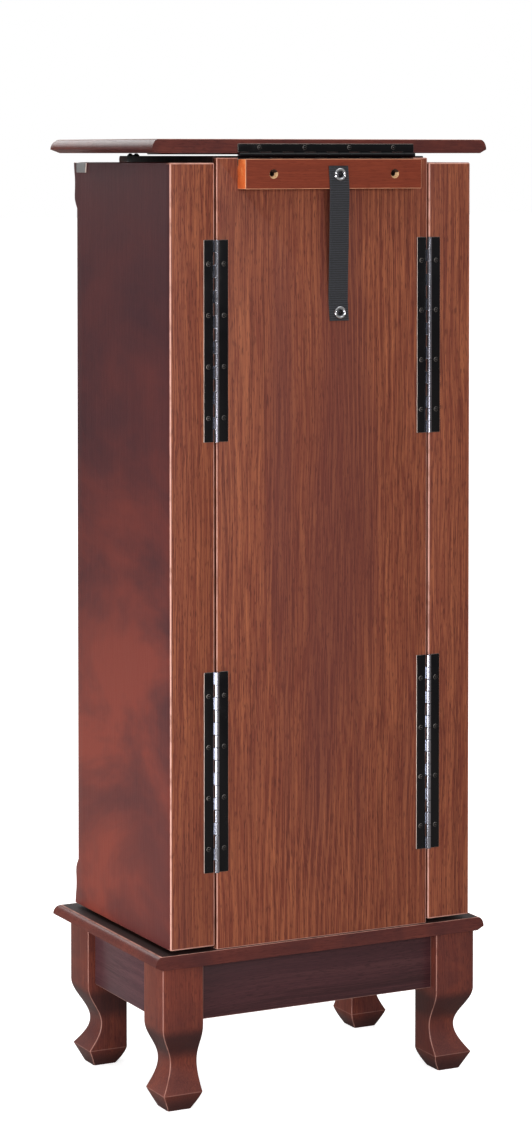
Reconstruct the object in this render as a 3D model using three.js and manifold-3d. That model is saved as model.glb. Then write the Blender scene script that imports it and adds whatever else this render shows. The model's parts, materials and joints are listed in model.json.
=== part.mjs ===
// Jewelry armoire: a slim cabinet on four shaped legs, with a flip-top tray, five drawers and two
// full-height side doors that swing out on piano hinges. A cleat and a strap on its back tie it to
// a wall.
//
// Millimetres, +Z up. The cabinet's front faces -Y. Every piece is drawn in the case frame, where
// y = 0 is the outer face of the back, z = 0 is the floor and x = 0 is the middle. The last group
// moves the whole along Y so that the origin is at the middle of the footprint.

import * as THREE from "three";
import { mergeVertices } from "three/addons/utils/BufferGeometryUtils.js";
import Module from "manifold-3d";

const wasm = await Module();
wasm.setup();

// ---------------------------------------------------------------- driving dimensions

// Overall
const HEIGHT = 965;
const CASE_WIDTH = 342; // over both closed doors
const CASE_DEPTH = 225; // outer back face to drawer fronts
const DOOR_WIDTH = 49;
const DOOR_SEAM = 2; // between a door and the body

// Lid and base boards, with one moulding on the front and both sides
const BOARD_THICKNESS = 14;
const NOSE_REACH = 7.5;
const NOSE_DROP = 10.2; // from the top face down to the tip of the nose
const LID_SIDE_OVERHANG = 19;
const LID_FRONT_OVERHANG = 25;
const BASE_SIDE_OVERHANG = 17;
const BASE_FRONT_OVERHANG = 27;
const BASE_REAR_OVERHANG = 2;

// Legs and aprons
const LEG_HEIGHT = 145.6;
const LEG_SQUARE = 45;
const LEG_SIDE_PROUD = 7.5; // outside the case
const LEG_FRONT_PROUD = 3.5;
const LEG_REAR_INSET = 2;
const KNEE_HEIGHT = 86;
const WAIST_HEIGHT = 46;
const TOE_HEIGHT = 18;
const WAIST_INSET = 15;
const TOE_INSET = 1.8;
const FOOT_CHAMFER = 9;
const APRON_HEIGHT = 57.5;
const APRON_THICKNESS = 12;
const APRON_SIDE_INSET = 8;
const APRON_END_INSET = 10;

// Body
const PANEL = 9; // back panel, side panels and the doors' thin boards
const FRONT_THICKNESS = 14; // drawer fronts, tray front and door stiles
const LID_GAP = 2.8; // side panel top to lid
const BACK_PANEL_DROP = 1.7; // back panel top below the side panels
const DOOR_TOP_GAP = 9.4; // door top to lid
const DOOR_BOTTOM_GAP = 3.8; // door bottom to base board
const GLUE_GAP = 0.3;

// Tray under the lid
const TRAY_DEPTH = 56;
const TRAY_FLOOR = 5;
const TRAY_FRONT_DROP = 8; // tray front below the tray floor's top face
const CORNICE_REACH = 5.5;
const CORNICE_HEIGHT = 8;
const CORNICE_COVE = 6;
const DIVIDER_THICKNESS = 6;
const DIVIDER_HEIGHT = 35;
const DIVIDER_X = -19;
const CUSHION_HEIGHT = 26;
const CUSHION_CLEARANCE = 0.8;

// Mirror under the lid
const MIRROR_SIDE_MARGIN = 11; // from the side panels' inner faces
const MIRROR_FRONT_MARGIN = 6; // from the tray front
const MIRROR_REAR_MARGIN = 26; // from the back panel
const MIRROR_THICKNESS = 3;
const MIRROR_RECESS = 2;

// Drawers, from the bottom one to the top one
const DRAWER_SHARES = [1.5, 1.5, 1, 1, 1];
const DRAWER_REVEAL = 3;
const DRAWER_FRONT_INSET = 1; // front's end inside the side panel's outer face
const DRAWER_SIDE_CLEARANCE = 2;
const DRAWER_TOP_CLEARANCE = 16;
const DRAWER_BOTTOM_RISE = 10; // box bottom above the front's lower edge
const DRAWER_REAR_CLEARANCE = 11;
const DRAWER_WALL = 6;
const DRAWER_FLOOR = 4;
const RUNNER_WIDTH = 8;
const RUNNER_HEIGHT = 8;
const RUNNER_CLEARANCE = 0.5;
const RUNNER_END_GAP = 6;

// Door fittings
const CORBEL = [
  [0, 8.2],
  [8, 7.2],
  [18, 5.4],
  [28, 5.6],
  [37, 6.2],
  [43, 3.6],
  [48, 0],
]; // distance from the stile's end, and how far the carving stands proud there
const HOOK_COUNT = 5;
const HOOK_END_MARGIN = 33; // first and last hook from the boards at the door's edges
const HOOK_BAR_HEIGHT = 18;
const HOOK_BAR_THICKNESS = 2.5;
const HOOK_WIRE = 3;
const HOOK_REACH = 16;
const HOOK_LIP = 8;
const HOOK_BAR_DROP = 40; // bar's top below the door's top
const POUCH_END_MARGIN = 19; // from the boards at the door's edges
const POUCH_HEIGHT = 150;
const POUCH_DEPTH = 22;
const POUCH_WALL = 2.5;
const POUCH_RISE = 38; // pouch's bottom above the door's bottom

// Knobs, turned about their axis: radius, distance from the face
const KNOB_PROFILE = [
  [6.5, 0],
  [6.5, 2],
  [4, 4],
  [3.6, 9],
  [7.2, 12],
  [9, 16],
  [7.6, 19.4],
  [3.5, 21],
];
const KNOB_SIDES = 16;

// Piano hinges
const DOOR_HINGE_LENGTH = 200;
const HINGE_LEAF = 13.5; // from the barrel's axis to the leaf's edge
const LID_HINGE_LEAF = 11.2;
const HINGE_PLATE = 1;
const HINGE_BED = 0.3; // leaf to the wood under it
const BARREL_RADIUS = 2.5;
const BARREL_SIDES = 10;
const PIN_RADIUS = 1;
const BORE_RADIUS = 1.4;
const BORE_SIDES = 6;
const KNUCKLES = 16;
const KNUCKLE_GAP = 0.2;
const LEAF_CLEARANCE = 0.4; // leaf to the other leaf's knuckles
const UPPER_HINGE_DROP = 76; // hinge top below the door's top
const LOWER_HINGE_RISE = 74; // hinge bottom above the door's bottom
const LID_AXIS_DROP = 1.8; // barrel axis below the lid's underside

// Wall cleat and strap, both a little off the middle
const REAR_OFFSET = -3;
const CLEAT_END_MARGIN = 20; // cleat and lid hinge ends from the body's sides
const CLEAT_HEIGHT = 30;
const CLEAT_THICKNESS = 18;
const CLEAT_TOP_DROP = 5.6; // cleat top below the lid's underside
const CLEAT_HOLE_FROM_END = 31.25;
const CLEAT_HOLE_RADIUS = 2.5;
const CLEAT_SINK_RADIUS = 4.75;
const CLEAT_SINK_DEPTH = 4;
const STRAP_WIDTH = 22;
const STRAP_THICKNESS = 1.5;
const STRAP_TOP_DROP = 7; // strap end below the cleat's top
const STRAP_DROP = 156; // height from one end to the other
const STRAP_FLAT = 21; // length that lies flat on the back panel
const STRAP_LEAN = 0.07; // sideways shift for each millimetre of drop
const STRAP_HOLE_RADIUS = 2.6;
const SCREW_FROM_END = 8.5;
const SCREW_SHANK_RADIUS = 1.9;
const SCREW_SHANK_LENGTH = 12;
const SCREW_HOLE_RADIUS = 2.3;
const SCREW_X = -4.6; // top screw, from the cleat's middle
const WASHER_RADIUS = 6.6;
const WASHER_CREST_RADIUS = 5.3;
const WASHER_HEIGHT = 2.2;
const SCREW_HEAD_RADIUS = 3.8;
const SCREW_HEAD_SINK = 0.9; // head below the washer's crest
const ROUND_SIDES = 16;

// ---------------------------------------------------------------- derived levels and faces

const baseTop = LEG_HEIGHT + BOARD_THICKNESS;
const lidBottom = HEIGHT - BOARD_THICKNESS;
const caseTop = lidBottom - LID_GAP;
const doorBottom = baseTop + DOOR_BOTTOM_GAP;
const doorTop = lidBottom - DOOR_TOP_GAP;
const trayFloorTop = caseTop - TRAY_DEPTH;
const trayFrontBottom = trayFloorTop - TRAY_FRONT_DROP;

const doorOuter = CASE_WIDTH / 2;
const doorInner = doorOuter - DOOR_WIDTH;
const bodyHalf = doorInner - DOOR_SEAM;
const bodyInner = bodyHalf - PANEL;

const frontFace = -CASE_DEPTH;
const frontRear = frontFace + FRONT_THICKNESS; // rear face of drawer fronts and stiles
const backInner = -PANEL;

const legOuter = doorOuter + LEG_SIDE_PROUD;
const legFront = frontFace - LEG_FRONT_PROUD;
const legRear = -LEG_REAR_INSET;

const barrelY = HINGE_BED + BARREL_RADIUS;
const seamX = doorInner - DOOR_SEAM / 2;
const lidAxisZ = lidBottom - LID_AXIS_DROP;

const cleatHalf = bodyHalf - CLEAT_END_MARGIN;
const cleatTop = lidBottom - CLEAT_TOP_DROP;
const cleatBottom = cleatTop - CLEAT_HEIGHT;
const strapTop = cleatTop - STRAP_TOP_DROP;
const strapBottom = strapTop - STRAP_DROP;
const topScrewZ = strapTop - SCREW_FROM_END;
const bottomScrewZ = strapBottom + SCREW_FROM_END;
const topScrewX = REAR_OFFSET + SCREW_X;
const bottomScrewX = topScrewX - STRAP_LEAN * (topScrewZ - bottomScrewZ);

const rearReach = CLEAT_THICKNESS + STRAP_THICKNESS + 2 * GLUE_GAP + WASHER_HEIGHT;
const frontReach = CASE_DEPTH + Math.max(LID_FRONT_OVERHANG, BASE_FRONT_OVERHANG);

// ---------------------------------------------------------------- finishes

function finish(color, roughness, metalness = 0) {
  return new THREE.MeshStandardMaterial({ color, roughness, metalness });
}

const mahogany = finish(0x6e3428, 0.35);
const darkMahogany = finish(0x55303a, 0.35);
const walnut = finish(0x7d4634, 0.5);
const stainedPine = finish(0x8a4326, 0.5);
const blackSteel = finish(0x141414, 0.35, 0.6);
const brightSteel = finish(0xb8b8b8, 0.3, 1);
const antiqueBrass = finish(0x8a6a3a, 0.4, 1);
const chrome = finish(0xd0d0d0, 0.15, 1);
const silvered = finish(0xe0e6e8, 0.05, 1);
const velvet = finish(0xd9c9a8, 0.95);
const webbing = finish(0x2d3236, 0.9);

// ---------------------------------------------------------------- solid helpers

// A box between two corners. Each vertex takes its corner's own number, so neighbours that
// share a face share it exactly.
function box(x0, x1, y0, y1, z0, z1) {
  const geometry = new THREE.BoxGeometry(1, 1, 1);
  const at = geometry.getAttribute("position");
  for (let i = 0; i < at.count; i++) {
    at.setXYZ(i, at.getX(i) > 0 ? x1 : x0, at.getY(i) > 0 ? y1 : y0, at.getZ(i) > 0 ? z1 : z0);
  }
  return geometry;
}

// A closed solid through rings of points, each ring turning the same way as seen from above.
function loft(rings) {
  const size = rings[0].length;
  const positions = rings.flat(2);
  const index = [];
  for (let k = 0; k + 1 < rings.length; k++) {
    for (let i = 0; i < size; i++) {
      const a = k * size + i;
      const b = k * size + ((i + 1) % size);
      index.push(a, b, b + size, a, b + size, a + size);
    }
  }
  const top = (rings.length - 1) * size;
  for (let i = 1; i + 1 < size; i++) {
    index.push(0, i + 1, i);
    index.push(top, top + i, top + i + 1);
  }
  const geometry = new THREE.BufferGeometry();
  geometry.setAttribute("position", new THREE.Float32BufferAttribute(positions, 3));
  geometry.setIndex(index);
  return geometry;
}

// An outline of [y, z] points pulled along X.
function extrudeX(outline, x0, x1) {
  const shape = new THREE.Shape(outline.map(([y, z]) => new THREE.Vector2(y, z)));
  const geometry = new THREE.ExtrudeGeometry(shape, { depth: 1, bevelEnabled: false });
  const at = geometry.getAttribute("position");
  for (let i = 0; i < at.count; i++) {
    at.setXYZ(i, at.getZ(i) > 0.5 ? x1 : x0, at.getX(i), at.getY(i));
  }
  return geometry;
}

function polygon(radius, sides) {
  return Array.from({ length: sides }, (_, i) => {
    const angle = (2 * Math.PI * (i + 0.5)) / sides;
    return new THREE.Vector2(radius * Math.cos(angle), radius * Math.sin(angle));
  });
}

// A round bar along Z, with a bore where one is given.
function bar(radius, sides, z0, z1, boreRadius = 0, boreSides = BORE_SIDES) {
  const shape = new THREE.Shape(polygon(radius, sides));
  if (boreRadius > 0) {
    shape.holes.push(new THREE.Path(polygon(boreRadius, boreSides).reverse()));
  }
  const geometry = new THREE.ExtrudeGeometry(shape, { depth: z1 - z0, bevelEnabled: false });
  return geometry.translate(0, 0, z0);
}

// A solid turned about an axis along Y, from [radius, y] points.
function turnedY(profile, sides, x, y, z) {
  const points = profile.map(([radius, along]) => new THREE.Vector2(radius, along));
  const first = new THREE.Vector2(0, profile[0][1]);
  const last = new THREE.Vector2(0, profile[profile.length - 1][1]);
  const geometry = new THREE.LatheGeometry([first, ...points, last], sides);
  return geometry.translate(x, y, z);
}

function solidOf(geometry) {
  const bare = new THREE.BufferGeometry();
  bare.setAttribute("position", geometry.getAttribute("position"));
  bare.setIndex(geometry.getIndex());
  const merged = mergeVertices(bare, 1e-4);
  return new wasm.Manifold(
    new wasm.Mesh({
      numProp: 3,
      vertProperties: merged.getAttribute("position").array,
      triVerts: new Uint32Array(merged.getIndex().array),
    }),
  );
}

function geometryOf(solid) {
  const mesh = solid.getMesh();
  const geometry = new THREE.BufferGeometry();
  geometry.setAttribute("position", new THREE.BufferAttribute(mesh.vertProperties, 3));
  geometry.setIndex(new THREE.BufferAttribute(mesh.triVerts, 1));
  return geometry;
}

function join(...pieces) {
  return geometryOf(pieces.map(solidOf).reduce((whole, piece) => whole.add(piece)));
}

function cut(piece, ...tools) {
  return geometryOf(tools.map(solidOf).reduce((left, tool) => left.subtract(tool), solidOf(piece)));
}

function part(name, geometry, material) {
  const shown = geometry.clone();
  shown.computeVertexNormals();
  const mesh = new THREE.Mesh(shown, material);
  mesh.name = name;
  return mesh;
}

// Pieces on the left are the right-hand pieces mirrored across the middle.
const SIDES = [
  ["right", 1],
  ["left", -1],
];

function sided(mesh, direction) {
  mesh.scale.x = direction;
  return mesh;
}

const armoire = new THREE.Group();

// ---------------------------------------------------------------- moulded boards

// How far the nose stands out at each height: a long quarter round down to the tip, then a
// short slope back under it.
function noseProfile() {
  const steps = 5;
  const levels = [[0, -BOARD_THICKNESS]];
  for (let i = steps; i >= 0; i--) {
    const turn = (Math.PI / 2) * (i / steps);
    levels.push([NOSE_REACH * Math.sin(turn), -NOSE_DROP * (1 - Math.cos(turn))]);
  }
  return levels;
}

function mouldedBoard(halfWidth, front, rear, top) {
  return loft(
    noseProfile().map(([out, down]) => {
      const x = halfWidth - NOSE_REACH + out;
      const y = front + NOSE_REACH - out;
      const z = down === -BOARD_THICKNESS ? top - BOARD_THICKNESS : top + down;
      return [
        [-x, y, z],
        [x, y, z],
        [x, rear, z],
        [-x, rear, z],
      ];
    }),
  );
}

// ---------------------------------------------------------------- base

armoire.add(
  part(
    "base_board",
    mouldedBoard(
      doorOuter + BASE_SIDE_OVERHANG,
      frontFace - BASE_FRONT_OVERHANG,
      BASE_REAR_OVERHANG,
      baseTop,
    ),
    mahogany,
  ),
);

// Inset of a leg's two outer faces at a height: a chamfered foot, a toe, a hollow waist and
// a straight block above the knee.
function outerInset(z) {
  if (z <= TOE_HEIGHT) {
    return TOE_INSET + FOOT_CHAMFER * (1 - z / TOE_HEIGHT);
  }
  if (z <= WAIST_HEIGHT) {
    const rise = (z - TOE_HEIGHT) / (WAIST_HEIGHT - TOE_HEIGHT);
    return TOE_INSET + (WAIST_INSET - TOE_INSET) * Math.sin((Math.PI / 2) * rise);
  }
  if (z <= KNEE_HEIGHT) {
    const rise = (z - WAIST_HEIGHT) / (KNEE_HEIGHT - WAIST_HEIGHT);
    return (WAIST_INSET * (1 + Math.cos(Math.PI * rise))) / 2;
  }
  return 0;
}

// The two inner faces only curve in at the foot.
function innerInset(z) {
  if (z >= TOE_HEIGHT) {
    return 0;
  }
  return FOOT_CHAMFER * (1 - z / TOE_HEIGHT) ** 1.4;
}

function legLevels() {
  const spread = (from, to, count) =>
    Array.from({ length: count }, (_, i) => from + ((to - from) * (i + 1)) / count);
  return [
    0,
    ...spread(0, TOE_HEIGHT, 3),
    ...spread(TOE_HEIGHT, WAIST_HEIGHT, 4),
    ...spread(WAIST_HEIGHT, KNEE_HEIGHT, 6),
    LEG_HEIGHT,
  ];
}

// A right-hand leg whose outer faces are at x = legOuter and y = outerY, facing outY.
function leg(outerY, outY) {
  return loft(
    legLevels().map((z) => {
      const x0 = legOuter - LEG_SQUARE + innerInset(z);
      const x1 = legOuter - outerInset(z);
      const yOut = outerY - outY * outerInset(z);
      const yIn = outerY - outY * (LEG_SQUARE - innerInset(z));
      const y0 = Math.min(yOut, yIn);
      const y1 = Math.max(yOut, yIn);
      return [
        [x0, y0, z],
        [x1, y0, z],
        [x1, y1, z],
        [x0, y1, z],
      ];
    }),
  );
}

const apronBottom = LEG_HEIGHT - APRON_HEIGHT;
const apronSpanX = legOuter - LEG_SQUARE;
const apronRearY = legRear - APRON_END_INSET;
const apronFrontY = legFront + APRON_END_INSET;
const apronSideX = legOuter - APRON_SIDE_INSET;

for (const [side, direction] of SIDES) {
  armoire.add(sided(part(`leg_front_${side}`, leg(legFront, -1), mahogany), direction));
  armoire.add(sided(part(`leg_back_${side}`, leg(legRear, 1), mahogany), direction));
  const sideApron = box(
    apronSideX - APRON_THICKNESS,
    apronSideX,
    legFront + LEG_SQUARE,
    legRear - LEG_SQUARE,
    apronBottom,
    LEG_HEIGHT,
  );
  armoire.add(sided(part(`apron_${side}`, sideApron, darkMahogany), direction));
}

function endApron(y0, y1) {
  return box(-apronSpanX, apronSpanX, y0, y1, apronBottom, LEG_HEIGHT);
}

armoire.add(
  part("apron_back", endApron(apronRearY - APRON_THICKNESS, apronRearY), darkMahogany),
  part("apron_front", endApron(apronFrontY, apronFrontY + APRON_THICKNESS), darkMahogany),
);

// ---------------------------------------------------------------- drawer layout

const drawersBottom = baseTop + DRAWER_REVEAL;
const drawersTop = trayFrontBottom - DRAWER_REVEAL;

// Lower and upper edge of each drawer front, from the bottom one up.
function drawerEdges() {
  const total = DRAWER_SHARES.reduce((sum, share) => sum + share, 0);
  const fronts = drawersTop - drawersBottom - DRAWER_REVEAL * (DRAWER_SHARES.length - 1);
  let edge = drawersBottom;
  return DRAWER_SHARES.map((share) => {
    const lower = edge;
    const upper = lower + (fronts * share) / total;
    edge = upper + DRAWER_REVEAL;
    return [lower, upper];
  });
}

const drawers = drawerEdges().map(([lower, upper], i) => ({
  name: `drawer_${DRAWER_SHARES.length - i}`,
  lower,
  upper,
  boxBottom: lower + DRAWER_BOTTOM_RISE,
  boxTop: upper - DRAWER_TOP_CLEARANCE,
}));

// ---------------------------------------------------------------- body

const backPanel = cut(
  box(-bodyHalf, bodyHalf, backInner, 0, baseTop, caseTop - BACK_PANEL_DROP),
  turnedY(
    [
      [SCREW_HOLE_RADIUS, -PANEL - 1],
      [SCREW_HOLE_RADIUS, 1],
    ],
    ROUND_SIDES,
    bottomScrewX,
    0,
    bottomScrewZ,
  ),
);
armoire.add(part("back_panel", backPanel, walnut));

// A side panel with one runner strip glued on for each drawer.
function sidePanel() {
  const board = box(bodyInner, bodyHalf, frontRear, backInner, baseTop, caseTop);
  const runners = drawers.map(({ boxBottom }) => {
    const top = boxBottom - RUNNER_CLEARANCE;
    return box(
      bodyInner - RUNNER_WIDTH,
      bodyInner + PANEL / 2,
      frontRear + RUNNER_END_GAP,
      backInner - RUNNER_END_GAP,
      top - RUNNER_HEIGHT,
      top,
    );
  });
  return join(board, ...runners);
}

for (const [side, direction] of SIDES) {
  armoire.add(sided(part(`side_panel_${side}`, sidePanel(), walnut), direction));
}

// ---------------------------------------------------------------- tray

// The tray front's face, with a rounded cornice over a cove at the top.
function trayFrontOutline() {
  const steps = 4;
  const points = [
    [frontRear, trayFrontBottom],
    [frontRear, caseTop],
  ];
  for (let i = 0; i <= steps; i++) {
    const turn = Math.PI * (i / steps);
    const out = CORNICE_REACH - (CORNICE_HEIGHT / 2) * (1 - Math.sin(turn)) * 0.5;
    points.push([frontFace - out, caseTop - (CORNICE_HEIGHT / 2) * (1 - Math.cos(turn))]);
  }
  const coveTop = caseTop - CORNICE_HEIGHT;
  const coveOut = CORNICE_REACH - CORNICE_HEIGHT / 4;
  for (let i = 1; i <= steps; i++) {
    const turn = (Math.PI / 2) * (i / steps);
    points.push([
      frontFace - coveOut * (1 - Math.sin(turn)),
      coveTop - CORNICE_COVE * (1 - Math.cos(turn)),
    ]);
  }
  points.push([frontFace, trayFrontBottom]);
  return points.reverse();
}

const crossDividerY = (frontRear + backInner) / 2;

armoire.add(
  part("tray_front", extrudeX(trayFrontOutline(), -bodyHalf, bodyHalf), mahogany),
  part(
    "tray_floor",
    box(-bodyInner, bodyInner, frontRear, backInner, trayFloorTop - TRAY_FLOOR, trayFloorTop),
    velvet,
  ),
  part(
    "tray_dividers",
    join(
      box(
        DIVIDER_X - DIVIDER_THICKNESS / 2,
        DIVIDER_X + DIVIDER_THICKNESS / 2,
        frontRear,
        backInner,
        trayFloorTop,
        trayFloorTop + DIVIDER_HEIGHT,
      ),
      box(
        DIVIDER_X,
        bodyInner,
        crossDividerY - DIVIDER_THICKNESS / 2,
        crossDividerY + DIVIDER_THICKNESS / 2,
        trayFloorTop,
        trayFloorTop + DIVIDER_HEIGHT,
      ),
    ),
    velvet,
  ),
  part(
    "ring_cushion",
    box(
      -bodyInner + CUSHION_CLEARANCE,
      DIVIDER_X - DIVIDER_THICKNESS / 2 - CUSHION_CLEARANCE,
      frontRear + CUSHION_CLEARANCE,
      backInner - CUSHION_CLEARANCE,
      trayFloorTop + GLUE_GAP,
      trayFloorTop + CUSHION_HEIGHT,
    ),
    velvet,
  ),
);

// ---------------------------------------------------------------- lid and mirror

const mirrorHalf = bodyInner - MIRROR_SIDE_MARGIN;
const mirrorRear = backInner - MIRROR_REAR_MARGIN;
const mirrorFront = frontRear + MIRROR_FRONT_MARGIN;
const recessTop = lidBottom + MIRROR_RECESS;

armoire.add(
  part(
    "lid_board",
    cut(
      mouldedBoard(
        doorOuter + LID_SIDE_OVERHANG,
        frontFace - LID_FRONT_OVERHANG,
        0,
        HEIGHT,
      ),
      box(
        -mirrorHalf - GLUE_GAP,
        mirrorHalf + GLUE_GAP,
        mirrorFront - GLUE_GAP,
        mirrorRear + GLUE_GAP,
        lidBottom - 1,
        recessTop,
      ),
    ),
    mahogany,
  ),
  part(
    "lid_mirror",
    box(
      -mirrorHalf,
      mirrorHalf,
      mirrorFront,
      mirrorRear,
      recessTop - GLUE_GAP - MIRROR_THICKNESS,
      recessTop - GLUE_GAP,
    ),
    silvered,
  ),
);

// ---------------------------------------------------------------- knobs

function knob(x, z) {
  const outward = KNOB_PROFILE.map(([radius, along]) => [radius, -along]);
  return turnedY(outward.reverse(), KNOB_SIDES, x, frontFace, z);
}

// ---------------------------------------------------------------- drawers

const drawerFrontHalf = bodyHalf - DRAWER_FRONT_INSET;
const drawerHalf = bodyInner - DRAWER_SIDE_CLEARANCE;
const drawerRear = backInner - DRAWER_REAR_CLEARANCE;

for (const { name, lower, upper, boxBottom, boxTop } of drawers) {
  const openBox = cut(
    box(-drawerHalf, drawerHalf, frontRear, drawerRear, boxBottom, boxTop),
    box(
      -drawerHalf + DRAWER_WALL,
      drawerHalf - DRAWER_WALL,
      frontRear + DRAWER_WALL,
      drawerRear - DRAWER_WALL,
      boxBottom + DRAWER_FLOOR,
      boxTop + 1,
    ),
  );
  const front = box(-drawerFrontHalf, drawerFrontHalf, frontFace, frontRear, lower, upper);
  armoire.add(
    part(`${name}_box`, openBox, walnut),
    part(`${name}_front`, front, mahogany),
    part(`${name}_knob`, knob(0, (lower + upper) / 2), antiqueBrass),
  );
}

// ---------------------------------------------------------------- doors

// A U of three boards: the strip seen on the cabinet's back, and the top and bottom.
function doorFrame() {
  const inner = doorOuter - PANEL;
  return join(
    box(doorInner, doorOuter, backInner, 0, doorBottom, doorTop),
    box(doorInner, inner, frontRear, backInner + PANEL / 2, doorTop - PANEL, doorTop),
    box(doorInner, inner, frontRear, backInner + PANEL / 2, doorBottom, doorBottom + PANEL),
  );
}

// The front stile, with a carved corbel at each end.
function doorStile() {
  const curve = new THREE.SplineCurve(CORBEL.map(([along, out]) => new THREE.Vector2(along, out)));
  const carved = curve.getPoints(10);
  const upper = carved.map(({ x, y }) => [frontFace - y, doorTop - x]);
  const lower = carved.map(({ x, y }) => [frontFace - y, doorBottom + x]);
  return extrudeX(
    [[frontRear, doorBottom], [frontRear, doorTop], ...upper, ...lower.reverse()].reverse(),
    doorInner,
    doorOuter,
  );
}

// A bar with a row of upturned hooks that face the body.
function hookBar() {
  const face = doorOuter - PANEL;
  const top = doorTop - HOOK_BAR_DROP;
  const middleY = (frontRear + backInner) / 2;
  const span = backInner - frontRear - 2 * HOOK_END_MARGIN;
  const half = (span + HOOK_BAR_HEIGHT) / 2;
  const armZ = top - HOOK_BAR_HEIGHT / 2;
  const tip = face - HOOK_BAR_THICKNESS - HOOK_REACH;
  const pieces = [
    box(face - HOOK_BAR_THICKNESS, face, middleY - half, middleY + half, top - HOOK_BAR_HEIGHT, top),
  ];
  for (let i = 0; i < HOOK_COUNT; i++) {
    const y = middleY + span * (i / (HOOK_COUNT - 1) - 1 / 2);
    const y0 = y - HOOK_WIRE / 2;
    const y1 = y + HOOK_WIRE / 2;
    pieces.push(box(tip, face - HOOK_BAR_THICKNESS / 2, y0, y1, armZ - HOOK_WIRE, armZ));
    pieces.push(box(tip, tip + HOOK_WIRE, y0, y1, armZ - HOOK_WIRE / 2, armZ + HOOK_LIP));
  }
  return join(...pieces);
}

// A pouch that is open at the top, on the door's inner face.
function pouch() {
  const face = doorOuter - PANEL - GLUE_GAP;
  const middleY = (frontRear + backInner) / 2;
  const half = (backInner - frontRear) / 2 - POUCH_END_MARGIN;
  const bottom = doorBottom + POUCH_RISE;
  return cut(
    box(face - POUCH_DEPTH, face, middleY - half, middleY + half, bottom, bottom + POUCH_HEIGHT),
    box(
      face - POUCH_DEPTH + POUCH_WALL,
      face - POUCH_WALL,
      middleY - half + POUCH_WALL,
      middleY + half - POUCH_WALL,
      bottom + POUCH_WALL,
      bottom + POUCH_HEIGHT + 1,
    ),
  );
}

const doorKnobX = (doorInner + doorOuter) / 2;
const doorKnobZ = (doorBottom + doorTop) / 2;

for (const [side, direction] of SIDES) {
  const panel = box(doorOuter - PANEL, doorOuter, frontRear, backInner, doorBottom, doorTop);
  const pieces = [
    part(`door_${side}_frame`, doorFrame(), walnut),
    part(`door_${side}_panel`, panel, darkMahogany),
    part(`door_${side}_stile`, doorStile(), mahogany),
    part(`door_${side}_hooks`, hookBar(), antiqueBrass),
    part(`door_${side}_pouch`, pouch(), velvet),
    part(`door_${side}_knob`, knob(doorKnobX, doorKnobZ), antiqueBrass),
  ];
  pieces.forEach((piece) => armoire.add(sided(piece, direction)));
}

// ---------------------------------------------------------------- piano hinges

function hingePin(length) {
  return bar(PIN_RADIUS, BORE_SIDES, KNUCKLE_GAP, length - KNUCKLE_GAP);
}

// One leaf along Z with its barrel's axis at the origin. The leaf lies towards +X out to its
// reach, with its underside at y = -BARREL_RADIUS. It owns every second knuckle, starting with
// the first or the second. Knuckles are bored, or hold the swaged pin.
function hingeLeaf(firstKnuckle, holdsPin, reach, length) {
  const pitch = length / KNUCKLES;
  const under = -BARREL_RADIUS;
  const plateStart = BARREL_RADIUS + LEAF_CLEARANCE;
  const pieces = [box(plateStart, reach, under, under + HINGE_PLATE, 0, length)];
  for (let k = firstKnuckle; k < KNUCKLES; k += 2) {
    const z0 = k * pitch + KNUCKLE_GAP / 2;
    const z1 = (k + 1) * pitch - KNUCKLE_GAP / 2;
    const barrel = bar(BARREL_RADIUS, BARREL_SIDES, z0, z1);
    const web = box(0, plateStart + 1, under, under + HINGE_PLATE, z0, z1);
    pieces.push(barrel, web);
  }
  if (holdsPin) {
    pieces.push(hingePin(length));
    return join(...pieces);
  }
  return cut(join(...pieces), bar(BORE_RADIUS, BORE_SIDES, -1, length + 1));
}

const caseLeaf = hingeLeaf(0, true, HINGE_LEAF, DOOR_HINGE_LENGTH);
const doorLeaf = hingeLeaf(1, false, HINGE_LEAF, DOOR_HINGE_LENGTH);

const hingeHeights = [
  ["upper", doorTop - UPPER_HINGE_DROP - DOOR_HINGE_LENGTH],
  ["lower", doorBottom + LOWER_HINGE_RISE],
];

for (const [side, direction] of SIDES) {
  for (const [level, z] of hingeHeights) {
    const doorSide = part(`hinge_${side}_${level}_door_leaf`, doorLeaf, blackSteel);
    const caseSide = part(`hinge_${side}_${level}_case_leaf`, caseLeaf, blackSteel);
    doorSide.scale.x = direction;
    caseSide.scale.x = -direction;
    for (const leafMesh of [doorSide, caseSide]) {
      leafMesh.position.set(direction * seamX, barrelY, z);
      armoire.add(leafMesh);
    }
  }
}

// The lid's hinge lies along X, with one leaf up on the lid's edge and one down on the back.
const lidHinge = new THREE.Group();
const lidHingeLength = 2 * cleatHalf;
const upperLeaf = hingeLeaf(1, false, LID_HINGE_LEAF, lidHingeLength);
const lowerLeaf = hingeLeaf(0, false, LID_HINGE_LEAF, lidHingeLength);
const lidLeaf = part("lid_hinge_upper_leaf", upperLeaf, blackSteel);
const bodyLeaf = part("lid_hinge_lower_leaf", lowerLeaf, blackSteel);
const lidPin = part("lid_hinge_pin", hingePin(lidHingeLength), brightSteel);
bodyLeaf.scale.x = -1;
lidHinge.add(lidLeaf, bodyLeaf, lidPin);
// Local Z runs towards -X, local X points up and local Y points to the rear.
lidHinge.rotation.set(0, -Math.PI / 2, 0);
lidHinge.position.set(REAR_OFFSET + cleatHalf, barrelY, lidAxisZ);
armoire.add(lidHinge);

// ---------------------------------------------------------------- wall cleat

const leafRebate = HINGE_BED + HINGE_PLATE + GLUE_GAP;

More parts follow.
